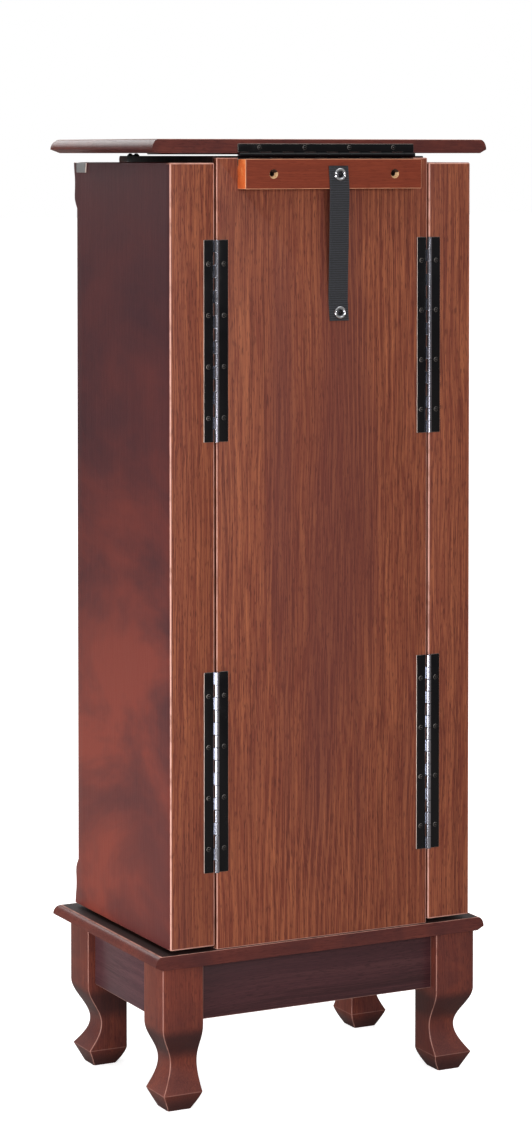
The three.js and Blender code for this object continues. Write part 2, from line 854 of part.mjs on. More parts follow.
function cleat() {
  const x0 = REAR_OFFSET - cleatHalf;
  const x1 = REAR_OFFSET + cleatHalf;
  const rebate = box(
    x0 - 1,
    x1 + 1,
    -1,
    leafRebate,
    lidAxisZ - LID_HINGE_LEAF - GLUE_GAP,
    cleatTop + 1,
  );
  const holeZ = (cleatTop + cleatBottom) / 2;
  const sinkStart = CLEAT_THICKNESS - CLEAT_SINK_DEPTH;
  const wallHoles = [x0 + CLEAT_HOLE_FROM_END, x1 - CLEAT_HOLE_FROM_END].map((holeX) =>
    turnedY(
      [
        [CLEAT_HOLE_RADIUS, -1],
        [CLEAT_HOLE_RADIUS, sinkStart],
        [CLEAT_SINK_RADIUS, CLEAT_THICKNESS],
        [CLEAT_SINK_RADIUS, CLEAT_THICKNESS + 1],
      ],
      ROUND_SIDES,
      holeX,
      0,
      holeZ,
    ),
  );
  const screwHole = turnedY(
    [
      [SCREW_HOLE_RADIUS, CLEAT_THICKNESS - SCREW_SHANK_LENGTH],
      [SCREW_HOLE_RADIUS, CLEAT_THICKNESS + 1],
    ],
    ROUND_SIDES,
    topScrewX,
    0,
    topScrewZ,
  );
  const block = box(x0, x1, 0, CLEAT_THICKNESS, cleatBottom, cleatTop);
  return cut(block, rebate, ...wallHoles, screwHole);
}

armoire.add(part("wall_cleat", cleat(), stainedPine));

// ---------------------------------------------------------------- anti-tip strap

// The outline of a band that follows a path of [y, z] points, on the side away from the body.
function band(path, thickness) {
  const outer = path.map(([y, z], i) => {
    const [py, pz] = path[Math.max(i - 1, 0)];
    const [ny, nz] = path[Math.min(i + 1, path.length - 1)];
    const before = Math.atan2(z - pz, y - py);
    const after = Math.atan2(nz - z, ny - y);
    const from = i === 0 ? after : before;
    const to = i === path.length - 1 ? before : after;
    const way = (from + to) / 2;
    const reach = thickness / Math.cos((to - from) / 2);
    return [y - reach * Math.sin(way), z + reach * Math.cos(way)];
  });
  return [...path, ...outer.reverse()];
}

function strap() {
  const onCleat = CLEAT_THICKNESS + GLUE_GAP;
  const path = [
    [onCleat, strapTop],
    [onCleat, cleatBottom],
    [GLUE_GAP, strapBottom + STRAP_FLAT],
    [GLUE_GAP, strapBottom],
  ];
  const half = STRAP_WIDTH / 2;
  const flat = extrudeX(band(path, STRAP_THICKNESS), topScrewX - half, topScrewX + half);
  const at = flat.getAttribute("position");
  for (let i = 0; i < at.count; i++) {
    at.setX(i, at.getX(i) - STRAP_LEAN * (topScrewZ - at.getZ(i)));
  }
  const screwHole = (x, y, z) =>
    turnedY(
      [
        [STRAP_HOLE_RADIUS, y - 1],
        [STRAP_HOLE_RADIUS, y + STRAP_THICKNESS + 1],
      ],
      ROUND_SIDES,
      x,
      0,
      z,
    );
  return cut(
    flat,
    screwHole(topScrewX, onCleat, topScrewZ),
    screwHole(bottomScrewX, GLUE_GAP, bottomScrewZ),
  );
}

// A screw sunk in a cup washer with a raised rim, with its shank in the wood.
function strapScrew(x, y, z, shank) {
  return turnedY(
    [
      [SCREW_SHANK_RADIUS, -shank],
      [SCREW_SHANK_RADIUS, 0],
      [WASHER_RADIUS, 0],
      [WASHER_RADIUS, WASHER_HEIGHT / 2],
      [WASHER_CREST_RADIUS, WASHER_HEIGHT],
      [SCREW_HEAD_RADIUS, WASHER_HEIGHT - SCREW_HEAD_SINK],
    ],
    ROUND_SIDES,
    x,
    y,
    z,
  );
}

const strapFace = STRAP_THICKNESS + 2 * GLUE_GAP;

armoire.add(
  part("anti_tip_strap", strap(), webbing),
  part(
    "strap_screw_top",
    strapScrew(topScrewX, CLEAT_THICKNESS + strapFace, topScrewZ, SCREW_SHANK_LENGTH),
    chrome,
  ),
  part(
    "strap_screw_bottom",
    strapScrew(bottomScrewX, strapFace, bottomScrewZ, strapFace + PANEL - 1),
    chrome,
  ),
);

// ---------------------------------------------------------------- whole cabinet

armoire.position.y = (frontReach - rearReach) / 2;

const group = new THREE.Group();
group.add(armoire);

export default group;
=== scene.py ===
# %% [markdown]
# # A jewelry armoire on four shaped legs
#
# This cabinet holds necklaces behind two full-height side doors, rings under a flip-top lid and
# small things in five drawers. It is seen here from its back, the side that is fixed to a wall.
#
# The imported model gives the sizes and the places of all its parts. This lesson gives each part
# its finished surface: rounded wooden edges, stained veneer, rolled hinge knuckles, woven webbing
# and flocked linings. Lengths are in metres, +Z is up and the drawers face -Y.

# %% Load the frame
import json
import math

import bmesh
import bpy
from mathutils import Matrix, Vector


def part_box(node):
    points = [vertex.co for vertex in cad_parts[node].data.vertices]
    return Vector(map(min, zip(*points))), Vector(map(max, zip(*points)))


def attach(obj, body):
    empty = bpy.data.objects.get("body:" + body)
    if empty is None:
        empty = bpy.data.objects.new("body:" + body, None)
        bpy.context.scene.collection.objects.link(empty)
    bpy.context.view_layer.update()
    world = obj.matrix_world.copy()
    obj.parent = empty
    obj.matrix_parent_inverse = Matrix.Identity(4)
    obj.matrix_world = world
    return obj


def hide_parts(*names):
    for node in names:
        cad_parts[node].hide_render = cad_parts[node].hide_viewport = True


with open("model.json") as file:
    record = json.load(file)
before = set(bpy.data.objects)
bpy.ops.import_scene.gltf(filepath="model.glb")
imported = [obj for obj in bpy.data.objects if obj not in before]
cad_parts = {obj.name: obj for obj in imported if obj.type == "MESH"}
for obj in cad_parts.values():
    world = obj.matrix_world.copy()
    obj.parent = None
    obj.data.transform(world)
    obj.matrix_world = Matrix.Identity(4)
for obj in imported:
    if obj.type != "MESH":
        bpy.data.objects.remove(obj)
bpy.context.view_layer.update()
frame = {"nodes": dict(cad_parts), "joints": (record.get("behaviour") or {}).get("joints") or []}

MM = 0.001
SIDES = (("right", 1), ("left", -1))

# %% [markdown]
# ## Camera, light and floor
#
# Furniture like this is shown standing on a white sweep under large soft lights. The camera stands
# behind the cabinet at the height of its lid and looks almost level, so that uprights stay upright.
# The view is lowered by a lens shift, with a small tilt doing the rest, because a large shift would
# push the cabinet out of the frame when the same camera looks from another side.

# %% Camera
CAMERA_PLACE = Vector((1.508, 2.920, 0.9504))
CAMERA_TURN = math.radians(152.78)  # round the cabinet from its front
CAMERA_TILT = math.radians(2.0)
LENS = 101.65
LENS_SHIFT = -0.2646

camera = bpy.data.objects.new("camera", bpy.data.cameras.new("camera"))
bpy.context.scene.collection.objects.link(camera)
camera.data.lens = LENS
camera.data.sensor_width = 36
camera.data.shift_y = LENS_SHIFT
camera.data.clip_start = 0.05
camera.location = CAMERA_PLACE
camera.rotation_euler = (math.pi / 2 - CAMERA_TILT, 0, CAMERA_TURN)
bpy.context.scene.camera = camera
bpy.context.scene.view_settings.view_transform = "Standard"

# %% Lights
def softbox(name, place, target, size, watts):
    data = bpy.data.lights.new(name, "AREA")
    data.shape = "RECTANGLE"
    data.size, data.size_y = size
    data.energy = watts
    lamp = bpy.data.objects.new(name, data)
    bpy.context.scene.collection.objects.link(lamp)
    lamp.location = place
    lamp.rotation_euler = (Vector(target) - Vector(place)).to_track_quat("-Z", "Y").to_euler()
    return lamp


softbox("key_light", (0.45, 3.0, 1.25), (0, 0, 0.5), (0.5, 0.5), 31)
low_light = softbox("low_light", (1.3, 2.7, 0.15), (0.05, 0, 0.1), (1.3, 0.6), 25)
low_light.data.color = (1.0, 0.93, 0.97)
softbox("top_light", (-0.6, 0.9, 2.9), (0, 0, 0.9), (1.6, 1.6), 8)
softbox("side_light", (1.6, 0.3, 0.12), (0.1, 0, 0.1), (0.9, 0.4), 20)
softbox("front_light", (0.4, -2.8, 2.0), (0, 0, 0.6), (1.8, 1.2), 34)


# %% White room
def white_room():
    """White to the camera, and softer light from below than from above for everything else."""
    sky = bpy.data.worlds.new("white_room")
    bpy.context.scene.world = sky
    sky.use_nodes = True
    tree = sky.node_tree
    seen = tree.nodes.new("ShaderNodeLightPath").outputs["Is Camera Ray"]
    direction = tree.nodes.new("ShaderNodeTexCoord").outputs["Generated"]
    apart = tree.nodes.new("ShaderNodeSeparateXYZ")
    tree.links.new(direction, apart.inputs[0])
    rise = tree.nodes.new("ShaderNodeMapRange")
    tree.links.new(apart.outputs["Z"], rise.inputs["Value"])
    for socket, value in (("From Min", 0.0), ("From Max", 0.8), ("To Min", 0.2), ("To Max", 0.7)):
        rise.inputs[socket].default_value = value
    brighter = tree.nodes.new("ShaderNodeMath")
    brighter.operation = "MAXIMUM"
    tree.links.new(seen, brighter.inputs[0])
    tree.links.new(rise.outputs[0], brighter.inputs[1])
    backdrop = tree.nodes["Background"]
    backdrop.inputs["Color"].default_value = (1, 1, 1, 1)
    tree.links.new(brighter.outputs[0], backdrop.inputs["Strength"])


white_room()
print("camera", tuple(round(v, 3) for v in camera.location), "lens", LENS)

# %% [markdown]
# ## Building shader trees
#
# Every finish below is made of nodes, so a few short helpers keep the recipes readable. `tone`
# turns a colour as a person would name it, in steps of 0 to 255, into the linear values that a
# shader needs. `add` makes one node and fills or links its inputs.

# %% Node helpers
def tone(red, green, blue):
    def linear(step):
        value = step / 255
        return value / 12.92 if value <= 0.04045 else ((value + 0.055) / 1.055) ** 2.4

    return (linear(red), linear(green), linear(blue), 1)


def add(tree, kind, inputs=None, **settings):
    node = tree.nodes.new(kind)
    for name, value in settings.items():
        setattr(node, name, value)
    for name, value in (inputs or {}).items():
        if isinstance(value, bpy.types.NodeSocket):
            tree.links.new(value, node.inputs[name])
        else:
            node.inputs[name].default_value = value
    return node


def maths(tree, operation, first, second=0.0):
    return add(tree, "ShaderNodeMath", {0: first, 1: second}, operation=operation).outputs[0]


def mixed(tree, factor, first, second):
    inputs = {"Factor": factor, 6: first, 7: second}
    return add(tree, "ShaderNodeMix", inputs, data_type="RGBA").outputs[2]


def spread(tree, value, low, high, start=0.0, end=1.0):
    inputs = {"Value": value, "From Min": low, "From Max": high, "To Min": start, "To Max": end}
    return add(tree, "ShaderNodeMapRange", inputs, interpolation_type="SMOOTHSTEP").outputs[0]


def noise(tree, vector, scale, detail=2.0, roughness=0.5, distortion=0.0):
    inputs = {
        "Vector": vector,
        "Scale": scale,
        "Detail": detail,
        "Roughness": roughness,
        "Distortion": distortion,
    }
    return add(tree, "ShaderNodeTexNoise", inputs).outputs


def new_group(name, inputs, outputs):
    tree = bpy.data.node_groups.new(name, "ShaderNodeTree")
    for label, kind, value in inputs:
        socket = tree.interface.new_socket(name=label, in_out="INPUT", socket_type=kind)
        if value is not None:
            socket.default_value = value
    for label, kind in outputs:
        tree.interface.new_socket(name=label, in_out="OUTPUT", socket_type=kind)
    return tree, tree.nodes.new("NodeGroupInput").outputs, tree.nodes.new("NodeGroupOutput").inputs


FLOAT, COLOR, VECTOR = "NodeSocketFloat", "NodeSocketColor", "NodeSocketVector"

# %% [markdown]
# ## Wood figure
#
# Stained wood shows three things at once: pores and fibres finer than a millimetre, growth rings a
# few millimetres apart, and broad bands where the stain took more or less. Each is a noise that is
# squeezed across the grain and stretched along it. One group makes all three, and each kind of
# wood sets its own tones and spacing. Long swaying lines, the edges of cut growth rings, can be
# laid over them. The group expects the grain along its vector's Z.

# %% Group: wood figure
LINE_SWAY = 40.0  # radians that a long line may drift from its straight course


def wood_figure_group():
    tree, given, result = new_group(
        "wood_figure",
        [
            ("Vector", VECTOR, None),
            ("Dark", COLOR, None),
            ("Middle", COLOR, None),
            ("Light", COLOR, None),
            ("Shadow", COLOR, None),
            ("Rings per metre", FLOAT, 130.0),
            ("Fibres per metre", FLOAT, 1100.0),
            ("Bands per metre", FLOAT, 14.0),
            ("Ring strength", FLOAT, 1.0),
            ("Lines per metre", FLOAT, 130.0),
            ("Line strength", FLOAT, 0.0),
            ("Wander", FLOAT, 0.012),
        ],
        [("Color", COLOR), ("Fibre", FLOAT), ("Height", FLOAT)],
    )
    drift = noise(tree, given["Vector"], 5.0, detail=1.0)["Color"]
    centred = add(tree, "ShaderNodeVectorMath", {0: drift, 1: (0.5, 0.5, 0.5)}, operation="SUBTRACT")
    scaled = add(tree, "ShaderNodeVectorMath", {0: centred.outputs[0]}, operation="SCALE")
    tree.links.new(given["Wander"], scaled.inputs["Scale"])
    inputs = {0: given["Vector"], 1: scaled.outputs[0]}
    bent = add(tree, "ShaderNodeVectorMath", inputs, operation="ADD").outputs[0]

    def along_grain(stretch):
        return add(tree, "ShaderNodeMapping", {"Vector": bent, "Scale": (1, 1, 1 / stretch)}).outputs[0]

    rings = noise(tree, along_grain(60), given["Rings per metre"], 1.5, 0.5, 0.15)["Fac"]
    fibres = noise(tree, along_grain(90), given["Fibres per metre"], 1.5, 0.6)["Fac"]
    pores = noise(tree, along_grain(9), given["Fibres per metre"], 1.0, 0.5)["Fac"]
    bands = noise(tree, along_grain(9), given["Bands per metre"], 1.5, 0.5, 0.3)["Fac"]

    ring = maths(tree, "MULTIPLY", spread(tree, rings, 0.52, 0.7, 0.0, 0.8), given["Ring strength"])
    hollow = maths(tree, "MULTIPLY", spread(tree, rings, 0.48, 0.3, 0.0, 0.6), given["Ring strength"])
    colour = mixed(tree, hollow, given["Middle"], given["Dark"])
    colour = mixed(tree, ring, colour, given["Light"])
    colour = mixed(tree, spread(tree, fibres, 0.45, 0.62, 0.0, 0.5), colour, given["Light"])
    colour = mixed(tree, spread(tree, pores, 0.46, 0.3, 0.0, 0.6), colour, given["Dark"])
    colour = mixed(tree, spread(tree, bands, 0.46, 0.72, 0.0, 0.55), colour, given["Shadow"])
    sway = maths(tree, "MULTIPLY", noise(tree, along_grain(6), 14.0, 1.5, 0.5)["Fac"], LINE_SWAY)
    across = add(tree, "ShaderNodeSeparateXYZ", {0: given["Vector"]}).outputs
    lines = maths(tree, "MULTIPLY", across["X"], given["Lines per metre"])
    turns = maths(tree, "MULTIPLY", lines, 2 * math.pi)
    line = maths(tree, "SINE", maths(tree, "ADD", turns, sway))
    shown = spread(tree, noise(tree, along_grain(2.5), 7.0, 1.0)["Fac"], 0.44, 0.6)
    shown = maths(tree, "MULTIPLY", shown, given["Line strength"])
    bright = maths(tree, "MULTIPLY", spread(tree, line, 0.7, 1.0), shown)
    dull = maths(tree, "MULTIPLY", spread(tree, line, -0.3, -1.0, 0.0, 0.6), shown)
    colour = mixed(tree, bright, colour, given["Light"])
    colour = mixed(tree, dull, colour, given["Dark"])
    tree.links.new(colour, result["Color"])
    tree.links.new(fibres, result["Fibre"])
    height = maths(tree, "ADD", maths(tree, "MULTIPLY", fibres, 0.6), maths(tree, "MULTIPLY", pores, 0.4))
    tree.links.new(height, result["Height"])
    return tree


WOOD_FIGURE = wood_figure_group()
print("group", WOOD_FIGURE.name)

# %% [markdown]
# ## Clouded stain
#
# The mahogany toner is sprayed, so it lies in clouds as wide as a hand: almost black where it went
# on twice and reddish where it is thin. A slow, warped noise mixes a second colour over the wood.

# %% Group: clouded stain
def clouded_stain_group():
    tree, given, result = new_group(
        "clouded_stain",
        [
            ("Color", COLOR, None),
            ("Toner", COLOR, None),
            ("Vector", VECTOR, None),
            ("Clouds per metre", FLOAT, 6.0),
            ("Amount", FLOAT, 0.6),
            ("Everywhere", FLOAT, 0.0),
        ],
        [("Color", COLOR), ("Cloud", FLOAT)],
    )
    wide = noise(tree, given["Vector"], given["Clouds per metre"], 5.0, 0.62, 0.4)["Fac"]
    cloud = maths(tree, "ADD", spread(tree, wide, 0.34, 0.7), given["Everywhere"])
    soft = maths(tree, "MULTIPLY", maths(tree, "MINIMUM", cloud, 1.0), given["Amount"])
    tree.links.new(mixed(tree, soft, given["Color"], given["Toner"]), result["Color"])
    tree.links.new(cloud, result["Cloud"])
    return tree


CLOUDED_STAIN = clouded_stain_group()

# %% [markdown]
# ## Worn and highlighted edges
#
# Stain rubs through first where two faces meet, and the lacquer is thinnest there, and the rounding
# also catches the light. So every edge of this cabinet gets a fine pale line that is partly wear and
# partly painted highlight. The rounded edges of each piece carry an attribute which is 1 on the
# rounding and 0 on the faces. The group breaks it up with noise, so the line fades in and out as
# rubbed edges do.

# %% Group: worn and highlighted edges
def worn_and_highlighted_edges_group():
    tree, given, result = new_group(
        "worn_and_highlighted_edges",
        [
            ("Color", COLOR, None),
            ("Bare", COLOR, None),
            ("Vector", VECTOR, None),
            ("Amount", FLOAT, 0.8),
            ("Patches per metre", FLOAT, 60.0),
        ],
        [("Color", COLOR), ("Mask", FLOAT)],
    )
    wear = add(tree, "ShaderNodeAttribute", attribute_name="wear").outputs["Fac"]
    patches = noise(tree, given["Vector"], given["Patches per metre"], 3.0, 0.6)["Fac"]
    broken = maths(tree, "MULTIPLY", wear, spread(tree, patches, 0.3, 0.56, 0.5, 1.0))
    mask = maths(tree, "MULTIPLY", broken, given["Amount"])
    tree.links.new(mixed(tree, mask, given["Color"], given["Bare"]), result["Color"])
    tree.links.new(mask, result["Mask"])
    return tree


WORN_AND_HIGHLIGHTED_EDGES = worn_and_highlighted_edges_group()

# %% [markdown]
# ## Fine unevenness
#
# Paint, plating and rubber are never quite even. One group gives a slow sheen change and a fine
# height for them, in each finish's own scale.

# %% Group: fine unevenness
def unevenness_group():
    tree, given, result = new_group(
        "fine_unevenness",
        [("Vector", VECTOR, None), ("Grains per metre", FLOAT, 900.0), ("Smears per metre", FLOAT, 40.0)],
        [("Sheen", FLOAT), ("Height", FLOAT)],
    )
    smears = noise(tree, given["Vector"], given["Smears per metre"], 3.0, 0.6, 0.5)["Fac"]
    grains = noise(tree, given["Vector"], given["Grains per metre"], 2.0)["Fac"]
    tree.links.new(smears, result["Sheen"])
    tree.links.new(grains, result["Height"])
    return tree


UNEVENNESS = unevenness_group()


# %% Material helpers
def new_material(name):
    material = bpy.data.materials.new(name)
    material.use_nodes = True
    tree = material.node_tree
    return material, tree, tree.nodes["Principled BSDF"].inputs


def place_group(tree, group, inputs):
    return add(tree, "ShaderNodeGroup", inputs, node_tree=group).outputs


def object_vector(tree, turn=(0, 0, 0), scale=(1, 1, 1)):
    place = tree.nodes.new("ShaderNodeTexCoord").outputs["Object"]
    inputs = {"Vector": place, "Rotation": turn, "Scale": scale}
    return add(tree, "ShaderNodeMapping", inputs).outputs[0]


def bump(tree, height, depth):
    inputs = {"Height": height, "Distance": depth, "Strength": 1.0}
    return add(tree, "ShaderNodeBump", inputs).outputs[0]


# %% [markdown]
# ## The woods
#
# Walnut-grain laminate covers the back and the doors' back strips. Mahogany stain covers the
# mouldings, the legs and the fronts, and a darker and more clouded coat of it covers the doors' sides,
# with painted light and shade that make them darker at the top and lighter towards the floor. The
# aprons are darker still, and the side aprons take a lighter copy of their tones as painted sheen.
# The legs carry painted shade under the knee and over the foot. The side panels, the base's top and
# the cleat's holes take a near-black wood as painted shade, and the cleat is stained pine with bare
# end grain. The grain of each board runs along its length, so each wood is made once for every
# direction it is used in.

# %% Wood recipe
GRAIN_UPRIGHT = (0, 0, 0)
GRAIN_ACROSS = (0, math.radians(90), 0)  # along X
GRAIN_DEEP = (math.radians(90), 0, 0)  # along Y
PAINTED_SHADE_HEIGHT, PAINTED_LIGHT_HEIGHT = 0.95, 0.25  # painted light and shade: the door sides are darkest at the first height and lighter and redder down to the second
KNEE_PAINTED_SHADE, ANKLE_PAINTED_SHADE = 0.074, 0.046  # painted shade from under the knee of each leg down to above the ankle
FOOT_PAINTED_SHADE = 0.022  # and painted shade over the foot
# the colour of the legs' painted shade
LEG_PAINTED_SHADE = tone(50, 33, 34)
CLOUD_STRETCH = (1, 0.5, 0.9)  # the sprayer is swept from front to back


def wood(name, turn, tones, bare, stain=None, **figure):
    material, tree, surface = new_material(name)
    vector = object_vector(tree, turn)
    still = object_vector(tree)
    dark, middle, light, shadow = tones
    grain = place_group(
        tree,
        WOOD_FIGURE,
        {
            "Vector": vector,
            "Dark": dark,
            "Middle": middle,
            "Light": light,
            "Shadow": shadow,
            "Rings per metre": figure.get("rings", 130.0),
            "Fibres per metre": figure.get("fibres", 1100.0),
            "Bands per metre": figure.get("bands", 14.0),
            "Ring strength": figure.get("ring_strength", 1.0),
            "Wander": figure.get("wander", 0.012),
            "Lines per metre": figure.get("lines", 130.0),
            "Line strength": figure.get("line_strength", 0.0),
        },
    )
    colour = grain["Color"]
    if stain:
        toner, amount, clouds = stain
        height = add(tree, "ShaderNodeSeparateXYZ", {0: still}).outputs["Z"]
        inputs = {"Color": colour, "Toner": toner, "Vector": object_vector(tree, scale=CLOUD_STRETCH)}
        inputs |= {"Clouds per metre": clouds, "Amount": amount}
        if figure.get("thins"):
            # Painted light and shade: less red toner high up and more clouds low down make the side darker
            # at the top and lighter towards the floor.
            thin = (height, PAINTED_SHADE_HEIGHT, PAINTED_LIGHT_HEIGHT)
            inputs["Amount"] = spread(tree, *thin, 0.12, amount)
            inputs["Everywhere"] = spread(tree, height, 0.7, 0.15, 0.0, 0.35)
        colour = place_group(tree, CLOUDED_STAIN, inputs)["Color"]
        if figure.get("smoked_waist"):
            # Painted shade: darker from under the knee to above the ankle and over the foot, where the
            # leg's faces turn downwards.
            below_knee = spread(tree, height, KNEE_PAINTED_SHADE + 0.012, KNEE_PAINTED_SHADE)
            above_ankle = spread(tree, height, ANKLE_PAINTED_SHADE, ANKLE_PAINTED_SHADE + 0.016)
            foot = spread(tree, height, FOOT_PAINTED_SHADE, 0.004)
            smoke = maths(tree, "MAXIMUM", maths(tree, "MULTIPLY", below_knee, above_ankle), foot)
            colour = mixed(tree, maths(tree, "MULTIPLY", smoke, 0.75), colour, LEG_PAINTED_SHADE)
    inputs = {"Color": colour, "Bare": bare, "Vector": still, "Amount": figure.get("wear", 0.8)}
    colour = place_group(tree, WORN_AND_HIGHLIGHTED_EDGES, inputs)["Color"]
    tree.links.new(colour, surface["Base Color"])
    gloss = figure.get("roughness", 0.36)
    tree.links.new(spread(tree, grain["Fibre"], 0.3, 0.7, gloss + 0.08, gloss), surface["Roughness"])
    tree.links.new(bump(tree, grain["Height"], figure.get("relief", 0.00012)), surface["Normal"])
    surface["Coat Weight"].default_value = figure.get("lacquer", 0.1)
    surface["Coat Roughness"].default_value = 0.15
    surface["Specular IOR Level"].default_value = figure.get("specular", 0.25)
    return material


# %% Walnut, mahogany and pine
# The pale edge colour is partly rubbed-through stain and partly painted highlight.
PALE_EDGE = tone(222, 168, 152)
WALNUT_TONES = (tone(76, 35, 29), tone(115, 58, 43), tone(166, 99, 67), tone(92, 48, 45))
MAHOGANY_TONES = (tone(68, 30, 26), tone(112, 52, 40), tone(136, 70, 50), tone(86, 42, 37))
DARK_TONES = (tone(48, 25, 31), tone(63, 33, 39), tone(75, 41, 44), tone(54, 30, 38))
LEG_TONES = (tone(70, 31, 27), tone(116, 56, 44), tone(142, 76, 56), tone(88, 44, 39))
APRON_TONES = (tone(46, 25, 28), tone(66, 37, 41), tone(82, 49, 51), tone(54, 31, 36))
# A lighter copy of the apron tones, painted sheen for the side aprons.
APRON_PAINTED_SHEEN_TONES = (tone(56, 34, 40), tone(80, 50, 56), tone(96, 62, 67), tone(66, 42, 48))
DUSKY = tone(58, 35, 38)
RUSSET = tone(130, 57, 45)


def walnut(name, turn):
    figure = {"rings": 300.0, "ring_strength": 0.6, "line_strength": 0.4, "lines": 150.0}
    figure |= {"fibres": 1000.0, "lacquer": 0.03, "roughness": 0.44, "wear": 1.0, "specular": 0.18}
    return wood(name, turn, WALNUT_TONES, PALE_EDGE, **figure)


def mahogany(name, turn, tones=MAHOGANY_TONES, **extra):
    figure = {"ring_strength": 0.35, "rings": 90.0, "lacquer": 0.04}
    figure |= {"roughness": 0.32, "wear": 0.7, "specular": 0.18}
    return wood(name, turn, tones, PALE_EDGE, (DUSKY, 0.55, 14.0), **(figure | extra))


def dark_mahogany(name, turn):
    figure = {"ring_strength": 0.2, "rings": 70.0, "lacquer": 0.05, "roughness": 0.28, "wear": 0.6}
    return wood(name, turn, DARK_TONES, PALE_EDGE, (RUSSET, 1.0, 7.0), specular=0.16, thins=True, **figure)


WALNUT_UPRIGHT = walnut("walnut_upright", GRAIN_UPRIGHT)
WALNUT_DEEP = walnut("walnut_deep", GRAIN_DEEP)
MAHOGANY_UPRIGHT = mahogany("mahogany_upright", GRAIN_UPRIGHT)
MAHOGANY_ACROSS = mahogany("mahogany_across", GRAIN_ACROSS)
DARK_UPRIGHT = dark_mahogany("dark_mahogany_upright", GRAIN_UPRIGHT)
LEG_WOOD = mahogany("leg_mahogany", GRAIN_UPRIGHT, LEG_TONES, smoked_waist=True, wear=0.55)
MOULDING_TONES = (tone(62, 28, 27), tone(98, 49, 42), tone(120, 65, 54), tone(78, 40, 38))
MOULDING_FIGURE = {"rings": 140.0, "specular": 0.12, "wear": 0.8}
MOULDING_ACROSS = mahogany("moulding_mahogany", GRAIN_ACROSS, MOULDING_TONES, **MOULDING_FIGURE)


APRON_FIGURE = {"rings": 120.0, "wear": 0.5}
APRON_ACROSS = wood("apron_across", GRAIN_ACROSS, APRON_TONES, PALE_EDGE, roughness=0.34, **APRON_FIGURE)
# The side aprons take the lighter tones as painted sheen.
APRON_SIDE_PAINTED_SHEEN = wood("apron_side_painted_sheen", GRAIN_DEEP, APRON_PAINTED_SHEEN_TONES, PALE_EDGE, roughness=0.3, **APRON_FIGURE)
PINE_TONES = (tone(98, 38, 22), tone(116, 48, 29), tone(134, 60, 38), tone(96, 38, 25))
PINE_FIGURE = {"rings": 70.0, "ring_strength": 0.15, "bands": 4.0, "wear": 0.9}
PINE = wood("stained_pine", GRAIN_ACROSS, PINE_TONES, tone(222, 160, 124), **PINE_FIGURE)
END_GRAIN_TONES = (tone(196, 84, 34), tone(228, 112, 52), tone(240, 140, 80), tone(206, 92, 40))
SAWN = {"lacquer": 0.0, "roughness": 0.6}
PINE_END = wood("pine_end_grain", GRAIN_ACROSS, END_GRAIN_TONES, tone(240, 170, 130), **SAWN)
# Painted shade: a near-black wood for faces that lie in shade, the side panels under the lid, the base's
# top and the cleat's holes.
PAINTED_SHADE_TONES = (tone(34, 22, 22), tone(48, 31, 29), tone(62, 41, 36), tone(34, 23, 24))
PAINTED_SHADE_FIGURE = {"wear": 0.4, "roughness": 0.5}
PAINTED_SHADE_UPRIGHT = wood("painted_shade_upright", GRAIN_UPRIGHT, PAINTED_SHADE_TONES, tone(120, 84, 72), **PAINTED_SHADE_FIGURE)
RAW_TONES = (tone(190, 140, 96), tone(222, 180, 134), tone(238, 206, 166), tone(204, 158, 114))
DRILLED = {"lacquer": 0.0, "roughness": 0.7}
PINE_RAW = wood("pine_raw", GRAIN_ACROSS, RAW_TONES, tone(244, 220, 190), **DRILLED)

# %% [markdown]
# ## Metals, rubber and glass
#
# The hinge leaves are stoved black over steel, and the barrel is plain dull steel. The leaves' outer
# edges are sheared after the stoving, so they show pale metal. The black hinge screws carry a painted
# glint round each head. The strap screws and their washers are plated, and the strap screws' heads are
# painted dark for the shade inside the washers. Knobs and hooks are brass that has been darkened and
# rubbed back on its high spots. The mirror is glass with silver behind it, so a polished metal stands
# for it.

# %% Metals
def metal(name, colour, bare, metallic, roughness, relief, wear, smear=0.12):
    material, tree, surface = new_material(name)
    vector = object_vector(tree)
    uneven = place_group(tree, UNEVENNESS, {"Vector": vector})
    inputs = {"Color": colour, "Bare": bare, "Vector": vector, "Amount": wear, "Patches per metre": 400.0}
    edges = place_group(tree, WORN_AND_HIGHLIGHTED_EDGES, inputs)
    tree.links.new(edges["Color"], surface["Base Color"])
    gloss = spread(tree, uneven["Sheen"], 0.3, 0.7, roughness, roughness + smear)
    tree.links.new(gloss, surface["Roughness"])
    if 0 < metallic < 1:
        tree.links.new(maths(tree, "MAXIMUM", edges["Mask"], metallic), surface["Metallic"])
    else:
        surface["Metallic"].default_value = metallic
    surface["Specular IOR Level"].default_value = 0.3
    tree.links.new(bump(tree, uneven["Height"], relief), surface["Normal"])
    return material


BLACK_STEEL = metal("black_stoved_steel", tone(6, 6, 9), tone(214, 204, 194), 0.02, 0.16, 1e-5, 0.6)
BRIGHT_STEEL = metal("dull_steel", tone(154, 156, 166), tone(214, 214, 220), 1.0, 0.14, 1e-6, 0.4, 0.05)
# Painted glint: the black hinge screws' rim rings are near-white.
BLACK_SCREW_PAINTED_GLINT = metal("black_screw_painted_glint", tone(16, 16, 18), tone(244, 242, 240), 0.0, 0.12, 1e-6, 1.0)
SHEARED_STEEL = metal("sheared_steel", tone(226, 206, 194), tone(244, 236, 228), 0.1, 0.4, 1e-5, 0.6)
CHROME = metal("chrome_plate", tone(214, 216, 220), tone(250, 250, 252), 1.0, 0.08, 1e-6, 0.3, 0.05)
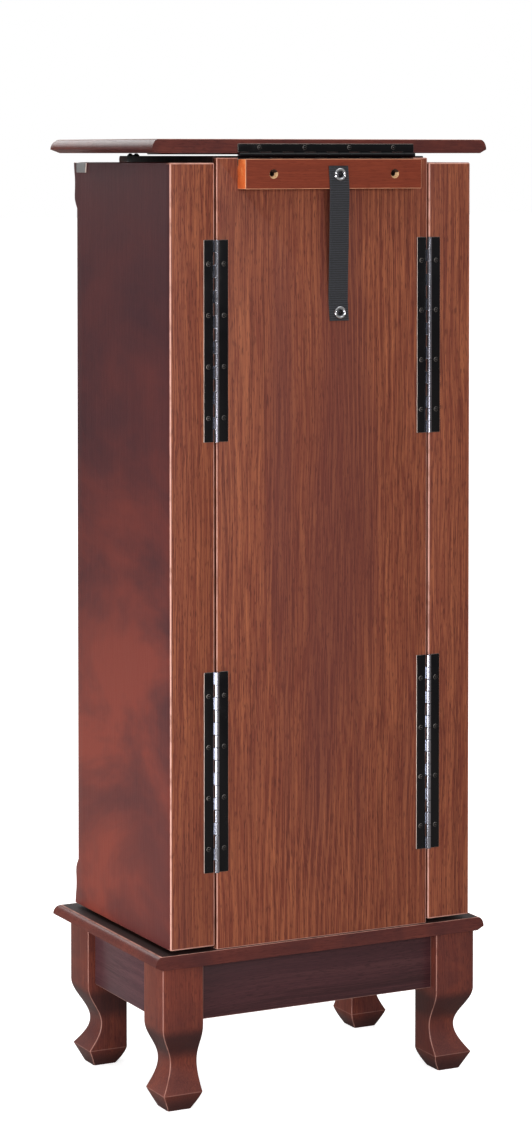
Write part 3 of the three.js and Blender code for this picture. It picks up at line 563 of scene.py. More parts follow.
# Painted shade: the plated strap screws' heads are coloured dark for the shade in their washers, and their
# rims get a painted highlight.
STRAP_HEAD_PAINTED_SHADE = metal("strap_head_painted_shade", tone(46, 46, 50), tone(160, 160, 164), 1.0, 0.3, 1e-6, 0.6)
BRASS = metal("antique_brass", tone(104, 76, 44), tone(206, 168, 108), 1.0, 0.26, 1e-5, 0.85, 0.25)
PLATE_STEEL = metal("catch_plate_steel", tone(132, 132, 132), tone(240, 240, 238), 0.15, 0.4, 1e-5, 0.9)
RUBBER = metal("black_rubber", tone(18, 18, 20), tone(40, 40, 42), 0.0, 0.65, 4e-5, 0.4)
SILVERED = metal("silvered_glass", tone(226, 232, 232), tone(170, 196, 190), 1.0, 0.01, 1e-7, 0.25, 0.01)


# %% [markdown]
# ## Flocking and webbing
#
# The linings are flocked: short fibres stand on the surface, so it is matt, brightens towards its
# outline and shows patches where the pile leans another way. The webbing is polypropylene yarn, and
# its ribs are real geometry. Its material adds the crossing yarns inside each rib, which follow the
# strap's own UV map in millimetres, and paints shade into the valleys between the ribs.

# %% Flocking
def flocking(name, deep, pale):
    material, tree, surface = new_material(name)
    vector = object_vector(tree)
    lean = noise(tree, vector, 16.0, 3.0, 0.55, 0.4)["Fac"]
    pile = noise(tree, vector, 2600.0, 1.0)["Fac"]
    colour = mixed(tree, spread(tree, lean, 0.3, 0.7), deep, pale)
    colour = mixed(tree, spread(tree, pile, 0.4, 0.6, 0.0, 0.35), colour, deep)
    tree.links.new(colour, surface["Base Color"])
    tree.links.new(spread(tree, lean, 0.3, 0.7, 0.95, 0.8), surface["Roughness"])
    tree.links.new(bump(tree, pile, 0.0003), surface["Normal"])
    surface["Sheen Weight"].default_value = 0.6
    surface["Sheen Roughness"].default_value = 0.4
    surface["Specular IOR Level"].default_value = 0.15
    return material


FLOCKING = flocking("beige_flocking", tone(184, 162, 126), tone(206, 184, 148))


# %% Webbing
RIB_MM, YARN_MM = 2.3, 0.9  # from rib to rib along the strap, and from yarn to yarn across it


def webbing():
    material, tree, surface = new_material("charcoal_webbing")
    place = add(tree, "ShaderNodeUVMap", uv_map="cloth").outputs[0]
    across = add(tree, "ShaderNodeSeparateXYZ", {0: place}).outputs
    warp = maths(tree, "SINE", maths(tree, "MULTIPLY", across[0], 2 * math.pi / YARN_MM))
    weft = maths(tree, "COSINE", maths(tree, "MULTIPLY", across[1], 2 * math.pi / RIB_MM))
    yarn = maths(tree, "MULTIPLY", warp, weft)
    fuzz = noise(tree, object_vector(tree), 1500.0, 2.0)["Fac"]
    # Painted shade: darkest in the valleys between the ribs and lightest on their crests.
    colour = mixed(tree, spread(tree, weft, -0.9, 0.6), tone(10, 11, 13), tone(42, 44, 50))
    colour = mixed(tree, spread(tree, yarn, 0.0, 1.0, 0.0, 0.3), colour, tone(62, 65, 73))
    colour = mixed(tree, spread(tree, fuzz, 0.5, 0.68, 0.0, 0.25), colour, tone(64, 67, 75))
    tree.links.new(colour, surface["Base Color"])
    tree.links.new(spread(tree, fuzz, 0.3, 0.7, 0.7, 0.9), surface["Roughness"])
    tree.links.new(bump(tree, yarn, 0.00012), surface["Normal"])
    surface["Sheen Weight"].default_value = 0.1
    return material


WEBBING = webbing()


# %% Floor
def lay_floor():
    mesh = bpy.data.meshes.new("floor")
    reach = 40.0
    corners = [(-reach, -reach, 0), (reach, -reach, 0), (reach, reach, 0), (-reach, reach, 0)]
    mesh.from_pydata(corners, [], [(0, 1, 2, 3)])
    floor = bpy.data.objects.new("floor", mesh)
    bpy.context.scene.collection.objects.link(floor)
    material, tree, surface = new_material("pale_floor")
    shade = noise(tree, object_vector(tree), 1.5, 2.0)["Fac"]
    colour = mixed(tree, shade, tone(244, 244, 244), tone(250, 250, 250))
    surface["Roughness"].default_value = 0.9
    surface["Specular IOR Level"].default_value = 0.0
    surface["Emission Color"].default_value = (1, 1, 1, 1)
    seen = tree.nodes.new("ShaderNodeLightPath").outputs["Is Camera Ray"]
    tree.links.new(mixed(tree, seen, tone(168, 164, 160), colour), surface["Base Color"])
    tree.links.new(maths(tree, "MULTIPLY", seen, 0.75), surface["Emission Strength"])
    mesh.materials.append(material)
    return floor


lay_floor()

# %% [markdown]
# ## Boards with rounded edges
#
# A machined board never has a knife edge: it is sanded to a radius of about a millimetre, and that
# radius is what catches the light. Each board is a merged copy of its part in the imported model. Its
# flat triangles are dissolved into whole faces, then its sharp edges are bevelled in three steps.
# The two middle rows of a bevel get the value 1 in the edge attribute, and all other points 0, so
# the pale line of wear and painted highlight stays on the rounding.

# %% Mesh helpers
def new_object(name, mesh):
    piece = bpy.data.objects.new(name, mesh)
    bpy.context.scene.collection.objects.link(piece)
    return piece


def plain_box(low, high):
    work = bmesh.new()
    bmesh.ops.create_cube(work, size=1.0)
    placed = Matrix.Translation((low + high) / 2) @ Matrix.Diagonal((*(high - low), 1))
    bmesh.ops.transform(work, matrix=placed, verts=work.verts)
    return work


def kept_mesh(work, name):
    mesh = bpy.data.meshes.new(name)
    work.to_mesh(mesh)
    work.free()
    return mesh


def merged_copy(node):
    work = bmesh.new()
    work.from_mesh(frame["nodes"][node].data)
    bmesh.ops.remove_doubles(work, verts=work.verts, dist=1e-6)
    bmesh.ops.dissolve_limit(work, angle_limit=math.radians(1), verts=work.verts, edges=work.edges)
    return work


GENTLE = math.radians(28)  # edges that turn less than this belong to a curve


def round_edges(work, radius, shortest=0.0, keep_sharp=None, steps=3):
    sharp = [
        edge
        for edge in work.edges
        if edge.calc_face_angle(0) > GENTLE
        and edge.calc_length() > shortest
        and not (keep_sharp and keep_sharp((edge.verts[0].co + edge.verts[1].co) / 2))
    ]
    made = bmesh.ops.bevel(
        work,
        geom=sharp,
        offset=radius,
        offset_type="OFFSET",
        segments=steps,
        profile=0.5,
        affect="EDGES",
        clamp_overlap=True,
    )
    rounding = set(made["faces"])
    layer = work.verts.layers.float.get("wear") or work.verts.layers.float.new("wear")
    for vert in work.verts:
        vert[layer] = 1.0 if vert.link_faces and all(f in rounding for f in vert.link_faces) else 0.0
    for face in work.faces:
        curved = any(0.01 < edge.calc_face_angle(0) < GENTLE for edge in face.edges)
        face.smooth = face in rounding or curved
    return work


def finished(work, name, materials):
    bmesh.ops.recalc_face_normals(work, faces=work.faces)
    mesh = kept_mesh(work, name)
    for material in materials:
        mesh.materials.append(material)
    mesh.set_sharp_from_angle(angle=math.radians(40))
    return new_object(name, mesh)


def fit(piece, body, slot, *nodes):
    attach(piece, body)
    if nodes:
        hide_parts(*nodes)
    return piece


# %% Plain boards
EDGE_RADIUS = 1.1 * MM
SHORT_EDGE = 3 * MM


def board(node, body, slot, material, keep_sharp=None, radius=EDGE_RADIUS, shortest=SHORT_EDGE):
    work = round_edges(merged_copy(node), radius, shortest, keep_sharp)
    return fit(finished(work, f"{node}_wood", [material]), body, slot, node)


board("back_panel", "cabinet", "walnut", WALNUT_UPRIGHT)
board("tray_front", "cabinet", "mahogany", MAHOGANY_ACROSS)
board("apron_back", "cabinet", "dark_mahogany", APRON_ACROSS)
board("apron_front", "cabinet", "dark_mahogany", APRON_ACROSS)
for side, direction in SIDES:
    # Painted shade: each side panel is near-black but for its inner face, which is walnut, for the shade on
    # the strip of it seen between lid and door.
    side_board = board(f"side_panel_{side}", "cabinet", "walnut", PAINTED_SHADE_UPRIGHT)
    side_board.data.materials.append(WALNUT_UPRIGHT)
    for face in side_board.data.polygons:
        face.material_index = 1 if face.normal.x * direction < -0.9 else 0
    board(f"apron_{side}", "cabinet", "dark_mahogany", APRON_SIDE_PAINTED_SHEEN)

DRAWERS = sorted({j["child"] for j in frame["joints"] if j["child"].startswith("drawer")})
for drawer in DRAWERS:
    board(f"{drawer}_box", drawer, "walnut", WALNUT_DEEP, radius=0.8 * MM)
    board(f"{drawer}_front", drawer, "mahogany", MAHOGANY_ACROSS, radius=1.6 * MM)
print("drawers", DRAWERS)

# %% [markdown]
# ## The doors
#
# A door is a shallow box that is open towards the cabinet. Its side is one mahogany board, and its
# back is a strip of walnut laminate glued to that board's edge. The two meet flush, so their common
# line stays unrounded, and the strip's outer edge is stained like the side.

# %% Doors
def paint_faces(piece, material, chosen):
    piece.data.materials.append(material)
    slot = len(piece.data.materials) - 1
    for face in piece.data.polygons:
        if chosen(face):
            face.material_index = slot


def doors():
    for side, direction in SIDES:
        body = f"door_{side}"
        low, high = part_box(f"door_{side}_panel")

        def on_joint(middle):
            return min(abs(middle.y - high.y), abs(middle.y - low.y)) < 0.1 * MM

        side_board = board(f"door_{side}_panel", body, "dark_mahogany", DARK_UPRIGHT, on_joint)
        stile = board(f"door_{side}_stile", body, "mahogany", MAHOGANY_UPRIGHT, on_joint, 0.9 * MM, 0.0)
        strip = board(f"door_{side}_frame", body, "walnut", WALNUT_UPRIGHT, on_joint, 1.8 * MM)
        paint_faces(side_board, FLOCKING, lambda face: face.normal.x * direction < -0.9)
        for piece in (stile, strip):
            paint_faces(piece, DARK_UPRIGHT, lambda face: face.normal.x * direction > 0.9)


doors()

# %% [markdown]
# ## Lid and base moulding
#
# Both boards carry the same nose on their front and sides: a long quarter round that ends in a
# short slope back underneath. It is lofted from rings, one for each step of the curve, with the
# rings' front corners mitred. The rear edge is left square.

# %% Moulded boards
NOSE_REACH = 7.5 * MM
NOSE_DROP = 10.2 * MM
NOSE_STEPS = 14


def lofted(rings, smooth_sides=True):
    work = bmesh.new()
    rows = [[work.verts.new(point) for point in ring] for ring in rings]
    count = len(rings[0])
    for lower, upper in zip(rows, rows[1:]):
        for i in range(count):
            j = (i + 1) % count
            work.faces.new((lower[i], lower[j], upper[j], upper[i])).smooth = smooth_sides
    work.faces.new(list(reversed(rows[0])))
    work.faces.new(rows[-1])
    return work


def moulded_rings(node):
    low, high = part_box(node)
    levels = [(0.0, low.z)]
    for i in range(NOSE_STEPS, -1, -1):
        turn = math.pi / 2 * i / NOSE_STEPS
        levels.append((NOSE_REACH * math.sin(turn), high.z - NOSE_DROP * (1 - math.cos(turn))))
    rings = []
    for out, z in levels:
        back = NOSE_REACH - out
        left, right, front = low.x + back, high.x - back, low.y + back
        rings.append([(left, front, z), (right, front, z), (right, high.y, z), (left, high.y, z)])
    return rings


def moulded_board(node, body, wood_top):
    """Pale lines of wear and painted highlight run where the nose meets the flat top and along the lower
    edge.
    """
    low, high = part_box(node)
    work = round_edges(lofted(moulded_rings(node)), 0.8 * MM)
    layer = work.verts.layers.float["wear"]
    for vert in work.verts:
        from_top = high.z - vert.co.z
        if 0.02 * MM < from_top < 0.5 * MM:
            vert[layer] = 1.0
    piece = finished(work, f"{node}_wood", [MOULDING_ACROSS])
    paint_faces(piece, wood_top, lambda face: face.normal.z > 0.9999)
    return fit(piece, body, "mahogany", node)


# Painted shade: the base's flat top, in shade under the doors, takes the near-black wood.
base = moulded_board("base_board", "cabinet", PAINTED_SHADE_UPRIGHT)
lid = moulded_board("lid_board", "lid", MOULDING_ACROSS)


# %% Cut the mirror's seat in the lid
def applied(piece):
    dependencies = bpy.context.evaluated_depsgraph_get()
    plain = bpy.data.meshes.new_from_object(piece.evaluated_get(dependencies))
    piece.modifiers.clear()
    piece.data = plain
    return piece


def cut_out(piece, work):
    tool = new_object("cutter", kept_mesh(work, "cutter"))
    cutter = piece.modifiers.new("cut", "BOOLEAN")
    cutter.operation = "DIFFERENCE"
    cutter.solver = "EXACT"
    cutter.object = tool
    applied(piece)
    bpy.data.objects.remove(tool)
    return piece


SEAT_GAP = 0.3 * MM
SEAT_BELOW = 4 * MM  # the cutter reaches out of the lid's underside
mirror_low, mirror_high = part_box("lid_mirror")
seat_low = mirror_low - Vector((SEAT_GAP, SEAT_GAP, SEAT_BELOW))
seat_high = mirror_high + Vector((SEAT_GAP, SEAT_GAP, SEAT_GAP))
cut_out(lid, plain_box(seat_low, seat_high))

mirror_work = round_edges(merged_copy("lid_mirror"), 1.0 * MM)
fit(finished(mirror_work, "mirror_glass", [SILVERED]), "lid", "mirror", "lid_mirror")
print("lid faces", len(lid.data.polygons))

# %% [markdown]
# ## Shaped legs
#
# Each leg is a square block whose two outer faces hollow into a waist, flare to a toe and cut back
# under it, while the inner faces stay straight down to the foot. A bandsaw cuts the two profiles,
# which leaves crisp corners, so the leg is lofted from squares with rounded corners, one for each
# small rise, and the corners carry a pale line that is partly wear and partly painted highlight.

# %% Legs
KNEE, WAIST, TOE = 86 * MM, 46 * MM, 18 * MM
WAIST_INSET, TOE_INSET, FOOT_CHAMFER = 15 * MM, 1.8 * MM, 9 * MM
LEG_CORNER = 1.8 * MM
CORNER_STEPS = 4


def outer_inset(z):
    if z <= TOE:
        return TOE_INSET + FOOT_CHAMFER * (1 - z / TOE)
    if z <= WAIST:
        rise = (z - TOE) / (WAIST - TOE)
        return TOE_INSET + (WAIST_INSET - TOE_INSET) * math.sin(math.pi / 2 * rise)
    if z <= KNEE:
        rise = (z - WAIST) / (KNEE - WAIST)
        return WAIST_INSET * (1 + math.cos(math.pi * rise)) / 2
    return 0.0


def inner_inset(z):
    return FOOT_CHAMFER * max(0.0, 1 - z / TOE) ** 1.4


def leg_heights(top):
    def spread_over(low, high, count):
        return [low + (high - low) * i / count for i in range(1, count + 1)]

    crease = 0.6 * MM
    heights = [0.0, *spread_over(0, TOE - crease, 7), TOE, TOE + crease]
    heights += spread_over(TOE + crease, WAIST, 12) + spread_over(WAIST, KNEE, 18)
    return heights + spread_over(KNEE, top - crease, 4) + [top]


def rounded_square(x0, x1, y0, y1, z):
    corners = [(x1 - LEG_CORNER, y1 - LEG_CORNER, 0), (x0 + LEG_CORNER, y1 - LEG_CORNER, 1)]
    corners += [(x0 + LEG_CORNER, y0 + LEG_CORNER, 2), (x1 - LEG_CORNER, y0 + LEG_CORNER, 3)]
    points = []
    for x, y, quarter in corners:
        for i in range(CORNER_STEPS + 1):
            turn = math.pi / 2 * (quarter + i / CORNER_STEPS)
            points.append((x + LEG_CORNER * math.cos(turn), y + LEG_CORNER * math.sin(turn), z))
    return points


def leg(node):
    low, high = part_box(node)
    outward_x = 1 if low.x + high.x > 0 else -1
    outward_y = 1 if node.startswith("leg_back") else -1
    rings = []
    for z in leg_heights(high.z):
        outer, inner = outer_inset(z), inner_inset(z)
        before_x, after_x = (inner, outer) if outward_x > 0 else (outer, inner)
        before_y, after_y = (inner, outer) if outward_y > 0 else (outer, inner)
        x0, x1 = low.x + before_x, high.x - after_x
        y0, y1 = low.y + before_y, high.y - after_y
        rings.append(rounded_square(x0, x1, y0, y1, z))
    work = lofted(rings)
    layer = work.verts.layers.float.new("wear")
    # Painted highlight and wear: a pale line down the middle of each rounded corner and a fainter one along
    # the toe's crease.
    for i, vert in enumerate(work.verts):
        on_corner = i % (CORNER_STEPS + 1) == CORNER_STEPS // 2
        on_toe = abs(vert.co.z - TOE) < 0.01 * MM
        vert[layer] = 1.0 if on_corner else 0.45 * on_toe
    piece = finished(work, f"{node}_wood", [LEG_WOOD])
    print(node, "rings", len(rings))
    return fit(piece, "cabinet", "mahogany", node)


for side, _ in SIDES:
    leg(f"leg_front_{side}")
    leg(f"leg_back_{side}")

# %% [markdown]
# ## A row of pieces with Geometry Nodes
#
# Knuckles and screws repeat at an even pitch. One Geometry Nodes tree does all of them: a line of
# points, a piece on every point, made real and given its material. Its inputs are the piece, the
# count, the first place, the step and the material. The evaluated result is kept as a plain mesh,
# and the modifier goes.

# %% Geometry Nodes: row of pieces
def row_tree():
    tree = bpy.data.node_groups.new("row_of_pieces", "GeometryNodeTree")
    kinds = [
        ("Piece", "NodeSocketObject"),
        ("Count", "NodeSocketInt"),
        ("First place", "NodeSocketVector"),
        ("Step", "NodeSocketVector"),
        ("Material", "NodeSocketMaterial"),
    ]
    for label, kind in kinds:
        tree.interface.new_socket(name=label, in_out="INPUT", socket_type=kind)
    tree.interface.new_socket(name="Geometry", in_out="OUTPUT", socket_type="NodeSocketGeometry")
    given = tree.nodes.new("NodeGroupInput").outputs
    result = tree.nodes.new("NodeGroupOutput").inputs
    line = tree.nodes.new("GeometryNodeMeshLine")
    line.mode = "OFFSET"
    piece = tree.nodes.new("GeometryNodeObjectInfo")
    place = tree.nodes.new("GeometryNodeInstanceOnPoints")
    real = tree.nodes.new("GeometryNodeRealizeInstances")
    paint = tree.nodes.new("GeometryNodeSetMaterial")
    tree.links.new(given["Count"], line.inputs["Count"])
    tree.links.new(given["First place"], line.inputs["Start Location"])
    tree.links.new(given["Step"], line.inputs["Offset"])
    tree.links.new(given["Piece"], piece.inputs["Object"])
    tree.links.new(line.outputs["Mesh"], place.inputs["Points"])
    tree.links.new(piece.outputs["Geometry"], place.inputs["Instance"])
    tree.links.new(place.outputs["Instances"], real.inputs["Geometry"])
    tree.links.new(real.outputs["Geometry"], paint.inputs["Geometry"])
    tree.links.new(given["Material"], paint.inputs["Material"])
    tree.links.new(paint.outputs["Geometry"], result["Geometry"])
    return tree


ROW_TREE = row_tree()


def row(name, pattern, count, first, step, material):
    """A plain object of count copies of the pattern object, which stays as it was."""
    piece = new_object(name, bpy.data.meshes.new(name))
    modifier = piece.modifiers.new("row", "NODES")
    modifier.node_group = ROW_TREE
    values = {"Piece": pattern, "Count": count, "First place": first, "Step": step}
    values["Material"] = material
    for socket in ROW_TREE.interface.items_tree:
        if socket.in_out == "INPUT":
            value = values[socket.name]
            modifier[socket.identifier] = list(value) if isinstance(value, Vector) else value
    return applied(piece)


def drop(*patterns):
    for pattern in patterns:
        bpy.data.objects.remove(pattern)


def joined(name, pieces):
    """One object from several that share their materials, with the parts removed."""
    work = bmesh.new()
    for piece in pieces:
        work.from_mesh(piece.data)
    materials = list(pieces[0].data.materials)
    mesh = kept_mesh(work, name)
    for material in materials:
        mesh.materials.append(material)
    drop(*pieces)
    print(name, "points", len(mesh.vertices))
    return new_object(name, mesh)


# %% [markdown]
# ## Screws
#
# A hinge screw has a raised countersunk head with a cross recess. The head is turned from a short
# profile, and the cross is cut out of it with a boolean, once, in a pattern that every screw copies.

# %% Turned shapes and screws
def turned(name, profile, material, sides=24, wear_from=None):
    """A closed solid turned about Z from (radius, height) points. Points whose radius lies in the ring
    given last get the pale value of wear and painted highlight."""
    work = bmesh.new()
    layer = work.verts.layers.float.new("wear")
    rows = []
    for radius, height in profile:
        if radius < 1e-7:
            ring = [work.verts.new((0, 0, height))]
        else:
            ring = []
            for i in range(sides):
                turn = 2 * math.pi * i / sides
                ring.append(work.verts.new((radius * math.cos(turn), radius * math.sin(turn), height)))
        in_pale_ring = wear_from is not None and wear_from[0] <= radius <= wear_from[1]
        for vert in ring:
            vert[layer] = 1.0 if in_pale_ring else 0.0
        rows.append(ring)
    for lower, upper in zip(rows, rows[1:]):
        for i in range(sides):
            j = (i + 1) % sides
            corners = [lower[i % len(lower)], lower[j % len(lower)]]
            corners += [upper[j % len(upper)], upper[i % len(upper)]]
            unique = list(dict.fromkeys(corners))
            if len(unique) > 2:
                work.faces.new(unique).smooth = True
    return finished(work, name, [material])


def cross_cutter(arm, width, depth, top):
    """A cross with tapered arms, standing in the top of a screw head."""
    half = width / 2
    outline = [(half, half), (half, arm), (-half, arm), (-half, half), (-arm, half), (-arm, -half)]
    outline += [(-half, -half), (-half, -arm), (half, -arm), (half, -half), (arm, -half), (arm, half)]
    levels = ((0.45, top - depth), (1.0, top + depth))
    rings = [[(x * size, y * size, z) for x, y in outline] for size, z in levels]
    work = lofted(rings, smooth_sides=False)
    bmesh.ops.recalc_face_normals(work, faces=work.faces)
    return work


SCREW_RADIUS = 2.3 * MM
SCREW_RISE = 0.75 * MM
SCREW_RIM = 0.12 * MM


def screw_pattern(material):
    """A raised head that stands on z = 0 and looks along +Z."""
    profile = [(0, -0.3 * MM), (SCREW_RADIUS, -0.3 * MM), (SCREW_RADIUS, SCREW_RIM)]
    for i in range(1, 6):
        turn = math.pi / 2 * i / 6
        height = SCREW_RIM + (SCREW_RISE - SCREW_RIM) * math.sin(turn)
        profile.append((SCREW_RADIUS * math.cos(turn), height))
    profile.append((0, SCREW_RISE))
    # The rim ring is pale: a painted glint on the black hinge screws and rubbed brass on the hook bar's
    # screws.
    head = turned("screw", profile, material, 20, (SCREW_RADIUS * 0.94, SCREW_RADIUS * 1.1))
    return cut_out(head, cross_cutter(1.35 * MM, 0.55 * MM, 0.55 * MM, SCREW_RISE))


def turn_mesh(piece, matrix):
    piece.data.transform(matrix)
    piece.data.update()
    return piece


screw_back = turn_mesh(screw_pattern(BLACK_SCREW_PAINTED_GLINT), Matrix.Rotation(math.radians(-90), 4, "X"))
print("screw faces", len(screw_back.data.polygons))

# %% [markdown]
# ## Piano hinges
#
# A piano hinge is two long leaves whose edges are rolled into knuckles around one pin. The door's
# leaf owns every second knuckle and the cabinet's leaf the others, so each body needs its own row.
# A knuckle is a closed outline, a roll with a short tail that runs under the leaf, pulled along the
# pin and rounded at its ends. Its pitch is the hinge's length divided by the number of knuckles.

# %% Hinge sizes
KNUCKLES = 16
BARREL = 2.5 * MM
LEAF_THICKNESS = 1.0 * MM
LEAF_CLEARANCE = 0.4 * MM
KNUCKLE_GAP = 0.25 * MM
SCREWS_IN_LEAF = 4
SCREW_PITCH = 50.8 * MM
ROLL_SIDES = 28
PLATE_START = BARREL + LEAF_CLEARANCE


def roll_outline():
    """(away from the pin, above the pin) points of a knuckle whose tail runs away from the pin."""
    tail = PLATE_START + 0.3 * MM
    top_of_tail = -BARREL + LEAF_THICKNESS
    start = math.asin(top_of_tail / BARREL)
    sweep = 1.5 * math.pi - start
    points = [(tail, -BARREL), (tail, top_of_tail)]
    for i in range(ROLL_SIDES + 1):
        turn = start + sweep * i / ROLL_SIDES
        points.append((BARREL * math.cos(turn), BARREL * math.sin(turn)))
    return points


def knuckle_pattern(pitch, material):
    """One knuckle along Z from 0, its tail towards +X and the open air towards +Y."""
    end = 0.2 * MM
    length = pitch - KNUCKLE_GAP
    outline = roll_outline()

    def ring(z, shrink):
        return [(x * shrink, y * shrink, z) for x, y in outline]

    rings = [ring(0, 0.93), ring(end * 0.3, 0.98), ring(end, 1), ring(end * 2, 1), ring(end * 4, 1)]
    rings += [ring(length - end * 4, 1), ring(length - end * 2, 1), ring(length - end, 1)]
    rings += [ring(length - end * 0.3, 0.98), ring(length, 0.93)]
    work = lofted(rings)
    work.verts.layers.float.new("wear")
    return finished(work, "knuckle", [material])


def leaf_plate(name, reach, length, material):
    work = plain_box(Vector((PLATE_START, -BARREL, 0)), Vector((reach, -BARREL + LEAF_THICKNESS, length)))
    corners = [e for e in work.edges if abs(e.verts[0].co.y - e.verts[1].co.y) > 0.5 * MM]
    bmesh.ops.bevel(work, geom=corners, offset=0.8 * MM, segments=3, profile=0.5, affect="EDGES")
    round_edges(work, 0.35 * MM)
    bmesh.ops.remove_doubles(work, verts=work.verts, dist=0.01 * MM)
    bmesh.ops.dissolve_degenerate(work, edges=work.edges, dist=0.01 * MM)
    print(name, "open edges", sum(not edge.is_manifold for edge in work.edges))
    plate = finished(work, name, [material, SHEARED_STEEL])
    for face in plate.data.polygons:
        if face.normal.x > 0.3:
            face.material_index = 1
    return plate


# %% Build a leaf with its knuckles and screws
def hinge_half(node, body, place, first_knuckle, reach, length, barrel_material, barrel_slot):
    """place turns the pattern, which has its pin on Z and its leaf towards +X, into the row frame."""
    pitch = length / KNUCKLES
    pattern = knuckle_pattern(pitch, barrel_material)
    first = Vector((0, 0, first_knuckle * pitch + KNUCKLE_GAP / 2))
    step = Vector((0, 0, 2 * pitch))
    rolls = row(f"{node}_knuckles", pattern, KNUCKLES // 2, first, step, barrel_material)
    drop(pattern)
    plate = leaf_plate("plate", reach, length, BLACK_STEEL)
    margin = (length - SCREW_PITCH * (SCREWS_IN_LEAF - 1)) / 2
    screw_place = Vector(((PLATE_START + reach) / 2 + 0.4 * MM, -BARREL + LEAF_THICKNESS, margin))
    screw_step = Vector((0, 0, SCREW_PITCH))
    screws = row("screws", screw_back, SCREWS_IN_LEAF, screw_place, screw_step, BLACK_SCREW_PAINTED_GLINT)
    leaf = joined(f"{node}_plate", [plate, screws])
    for piece in (leaf, rolls):
        mirrored = place.determinant() < 0
        turn_mesh(piece, place)
        if mirrored:
            piece.data.flip_normals()
    fit(leaf, body, "black_steel", node)
    fit(rolls, body, barrel_slot)
    return leaf, rolls


def pin_ends(name, body, place, length, material, slot):
    radius = 1.1 * MM
    profile = [(0, -0.25 * MM), (radius * 0.6, -0.2 * MM), (radius, 0.1 * MM), (radius, length - 0.1 * MM)]
    profile += [(radius * 0.6, length + 0.2 * MM), (0, length + 0.25 * MM)]
    pin = turned(name, profile, material, 16)
    return fit(turn_mesh(pin, place), body, slot)


def door_hinges():
    for side, direction in SIDES:
        for level in ("upper", "lower"):
            door_node = f"hinge_{side}_{level}_door_leaf"
            case_node = f"hinge_{side}_{level}_case_leaf"
            low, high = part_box(door_node)
            length = high.z - low.z
            pin_x = low.x + BARREL if direction > 0 else high.x - BARREL
            reach = high.x - low.x - BARREL
            at_pin = Matrix.Translation((pin_x, low.y + BARREL, low.z))
            outward = at_pin @ Matrix.Diagonal((direction, 1, 1, 1))
            inward = at_pin @ Matrix.Diagonal((-direction, 1, 1, 1))
            barrel = (BRIGHT_STEEL, "bright_steel")
            hinge_half(door_node, f"door_{side}", outward, 1, reach, length, *barrel)
            hinge_half(case_node, "cabinet", inward, 0, reach, length, *barrel)
            pin_ends(f"hinge_{side}_{level}_pin", "cabinet", at_pin, length, *barrel)


door_hinges()


# %% The lid's hinge
def lid_hinge():
    """The pin lies along X. One leaf stands up on the lid's edge, the other down on the back."""
    low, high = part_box("lid_hinge_upper_leaf")
    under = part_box("lid_hinge_lower_leaf")
    length = high.x - low.x
    pin_z = low.z + BARREL
    lying = Matrix.Rotation(math.radians(-90), 4, "Y")
    at_pin = Matrix.Translation((high.x, low.y + BARREL, pin_z)) @ lying
    downward = at_pin @ Matrix.Diagonal((-1, 1, 1, 1))
    up, down = high.z - pin_z, pin_z - under[0].z
    barrel = (BLACK_STEEL, "black_steel")
    hinge_half("lid_hinge_upper_leaf", "lid", at_pin, 1, up, length, *barrel)
    hinge_half("lid_hinge_lower_leaf", "cabinet", downward, 0, down, length, *barrel)
    pin = pin_ends("lid_hinge_steel_pin", "cabinet", at_pin, length, BRIGHT_STEEL, "bright_steel")
    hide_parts("lid_hinge_pin")


lid_hinge()
drop(screw_back)

# %% [markdown]
# ## Wall cleat
#
# The cleat is a strip of pine, stained on its faces only. Its sawn ends stay bright orange, and the
# drill has bared pale wood in the two countersunk holes. The board recipe is used again, and the
# ends and the holes get their own materials by the direction and place of their faces. The lower
# part of each countersink shows the bare wood, and its upper part and the drilled walls take the
# near-black wood as painted shade.

# %% Cleat
def cleat():
    piece = board("wall_cleat", "cabinet", "stained_pine", PINE, radius=1.0 * MM, shortest=4 * MM)
    low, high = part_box("wall_cleat")
    middle = (low + high) / 2
    reach = (high.x - low.x) / 2

    def from_middle(face):
        return abs(face.center.x - middle.x)

    def sunk(face, tallest):
        return from_middle(face) < reach - 5 * MM and abs(face.center.z - middle.z) < tallest

    def countersunk(face):
        return sunk(face, 6 * MM) and 0.2 < abs(face.normal.y) < 0.9

    def sawn(face):
        return abs(from_middle(face) - reach) < 0.1 * MM and abs(face.normal.x) > 0.9

    paint_faces(piece, PINE_END, sawn)
    paint_faces(piece, PINE_RAW, lambda face: countersunk(face) and face.normal.z > -0.35)
    # Painted shade: the countersinks' upper, downward-facing faces and the holes' walls take the near-black
    # wood.
    paint_faces(piece, PAINTED_SHADE_UPRIGHT, lambda face: countersunk(face) and face.normal.z <= -0.35)
    hole_shade_slot = len(piece.data.materials) - 1
    for face in piece.data.polygons:
        if sunk(face, 5 * MM) and abs(face.normal.y) < 0.2:
            face.material_index = hole_shade_slot
        if abs(face.normal.y) > 0.95:
            face.use_smooth = False


cleat()

# %% [markdown]
# ## Anti-tip strap
#
# The strap runs from a screw on the cleat down to a screw on the back. Between them it is pulled
# straight, and it bends over the cleat's lower edge. It is a long strip of 22 mm webbing, modelled
# directly: six rows of points for every rib, across a section with rolled selvedges. The face
# rises and falls by a fifth of a millimetre from rib to rib, and the path's corners are rounded.

# %% Strap path
STRAP_WIDTH = 22 * MM
STRAP_THICKNESS = 1.5 * MM
STRAP_LEAN = 0.07
STRAP_FLAT = 21 * MM
STRAP_OFF = 0.3 * MM
SCREW_FROM_END = 8.5 * MM
RIB_PITCH = RIB_MM * MM
RIB_ROWS = 6
BEND_RADIUS = 5 * MM


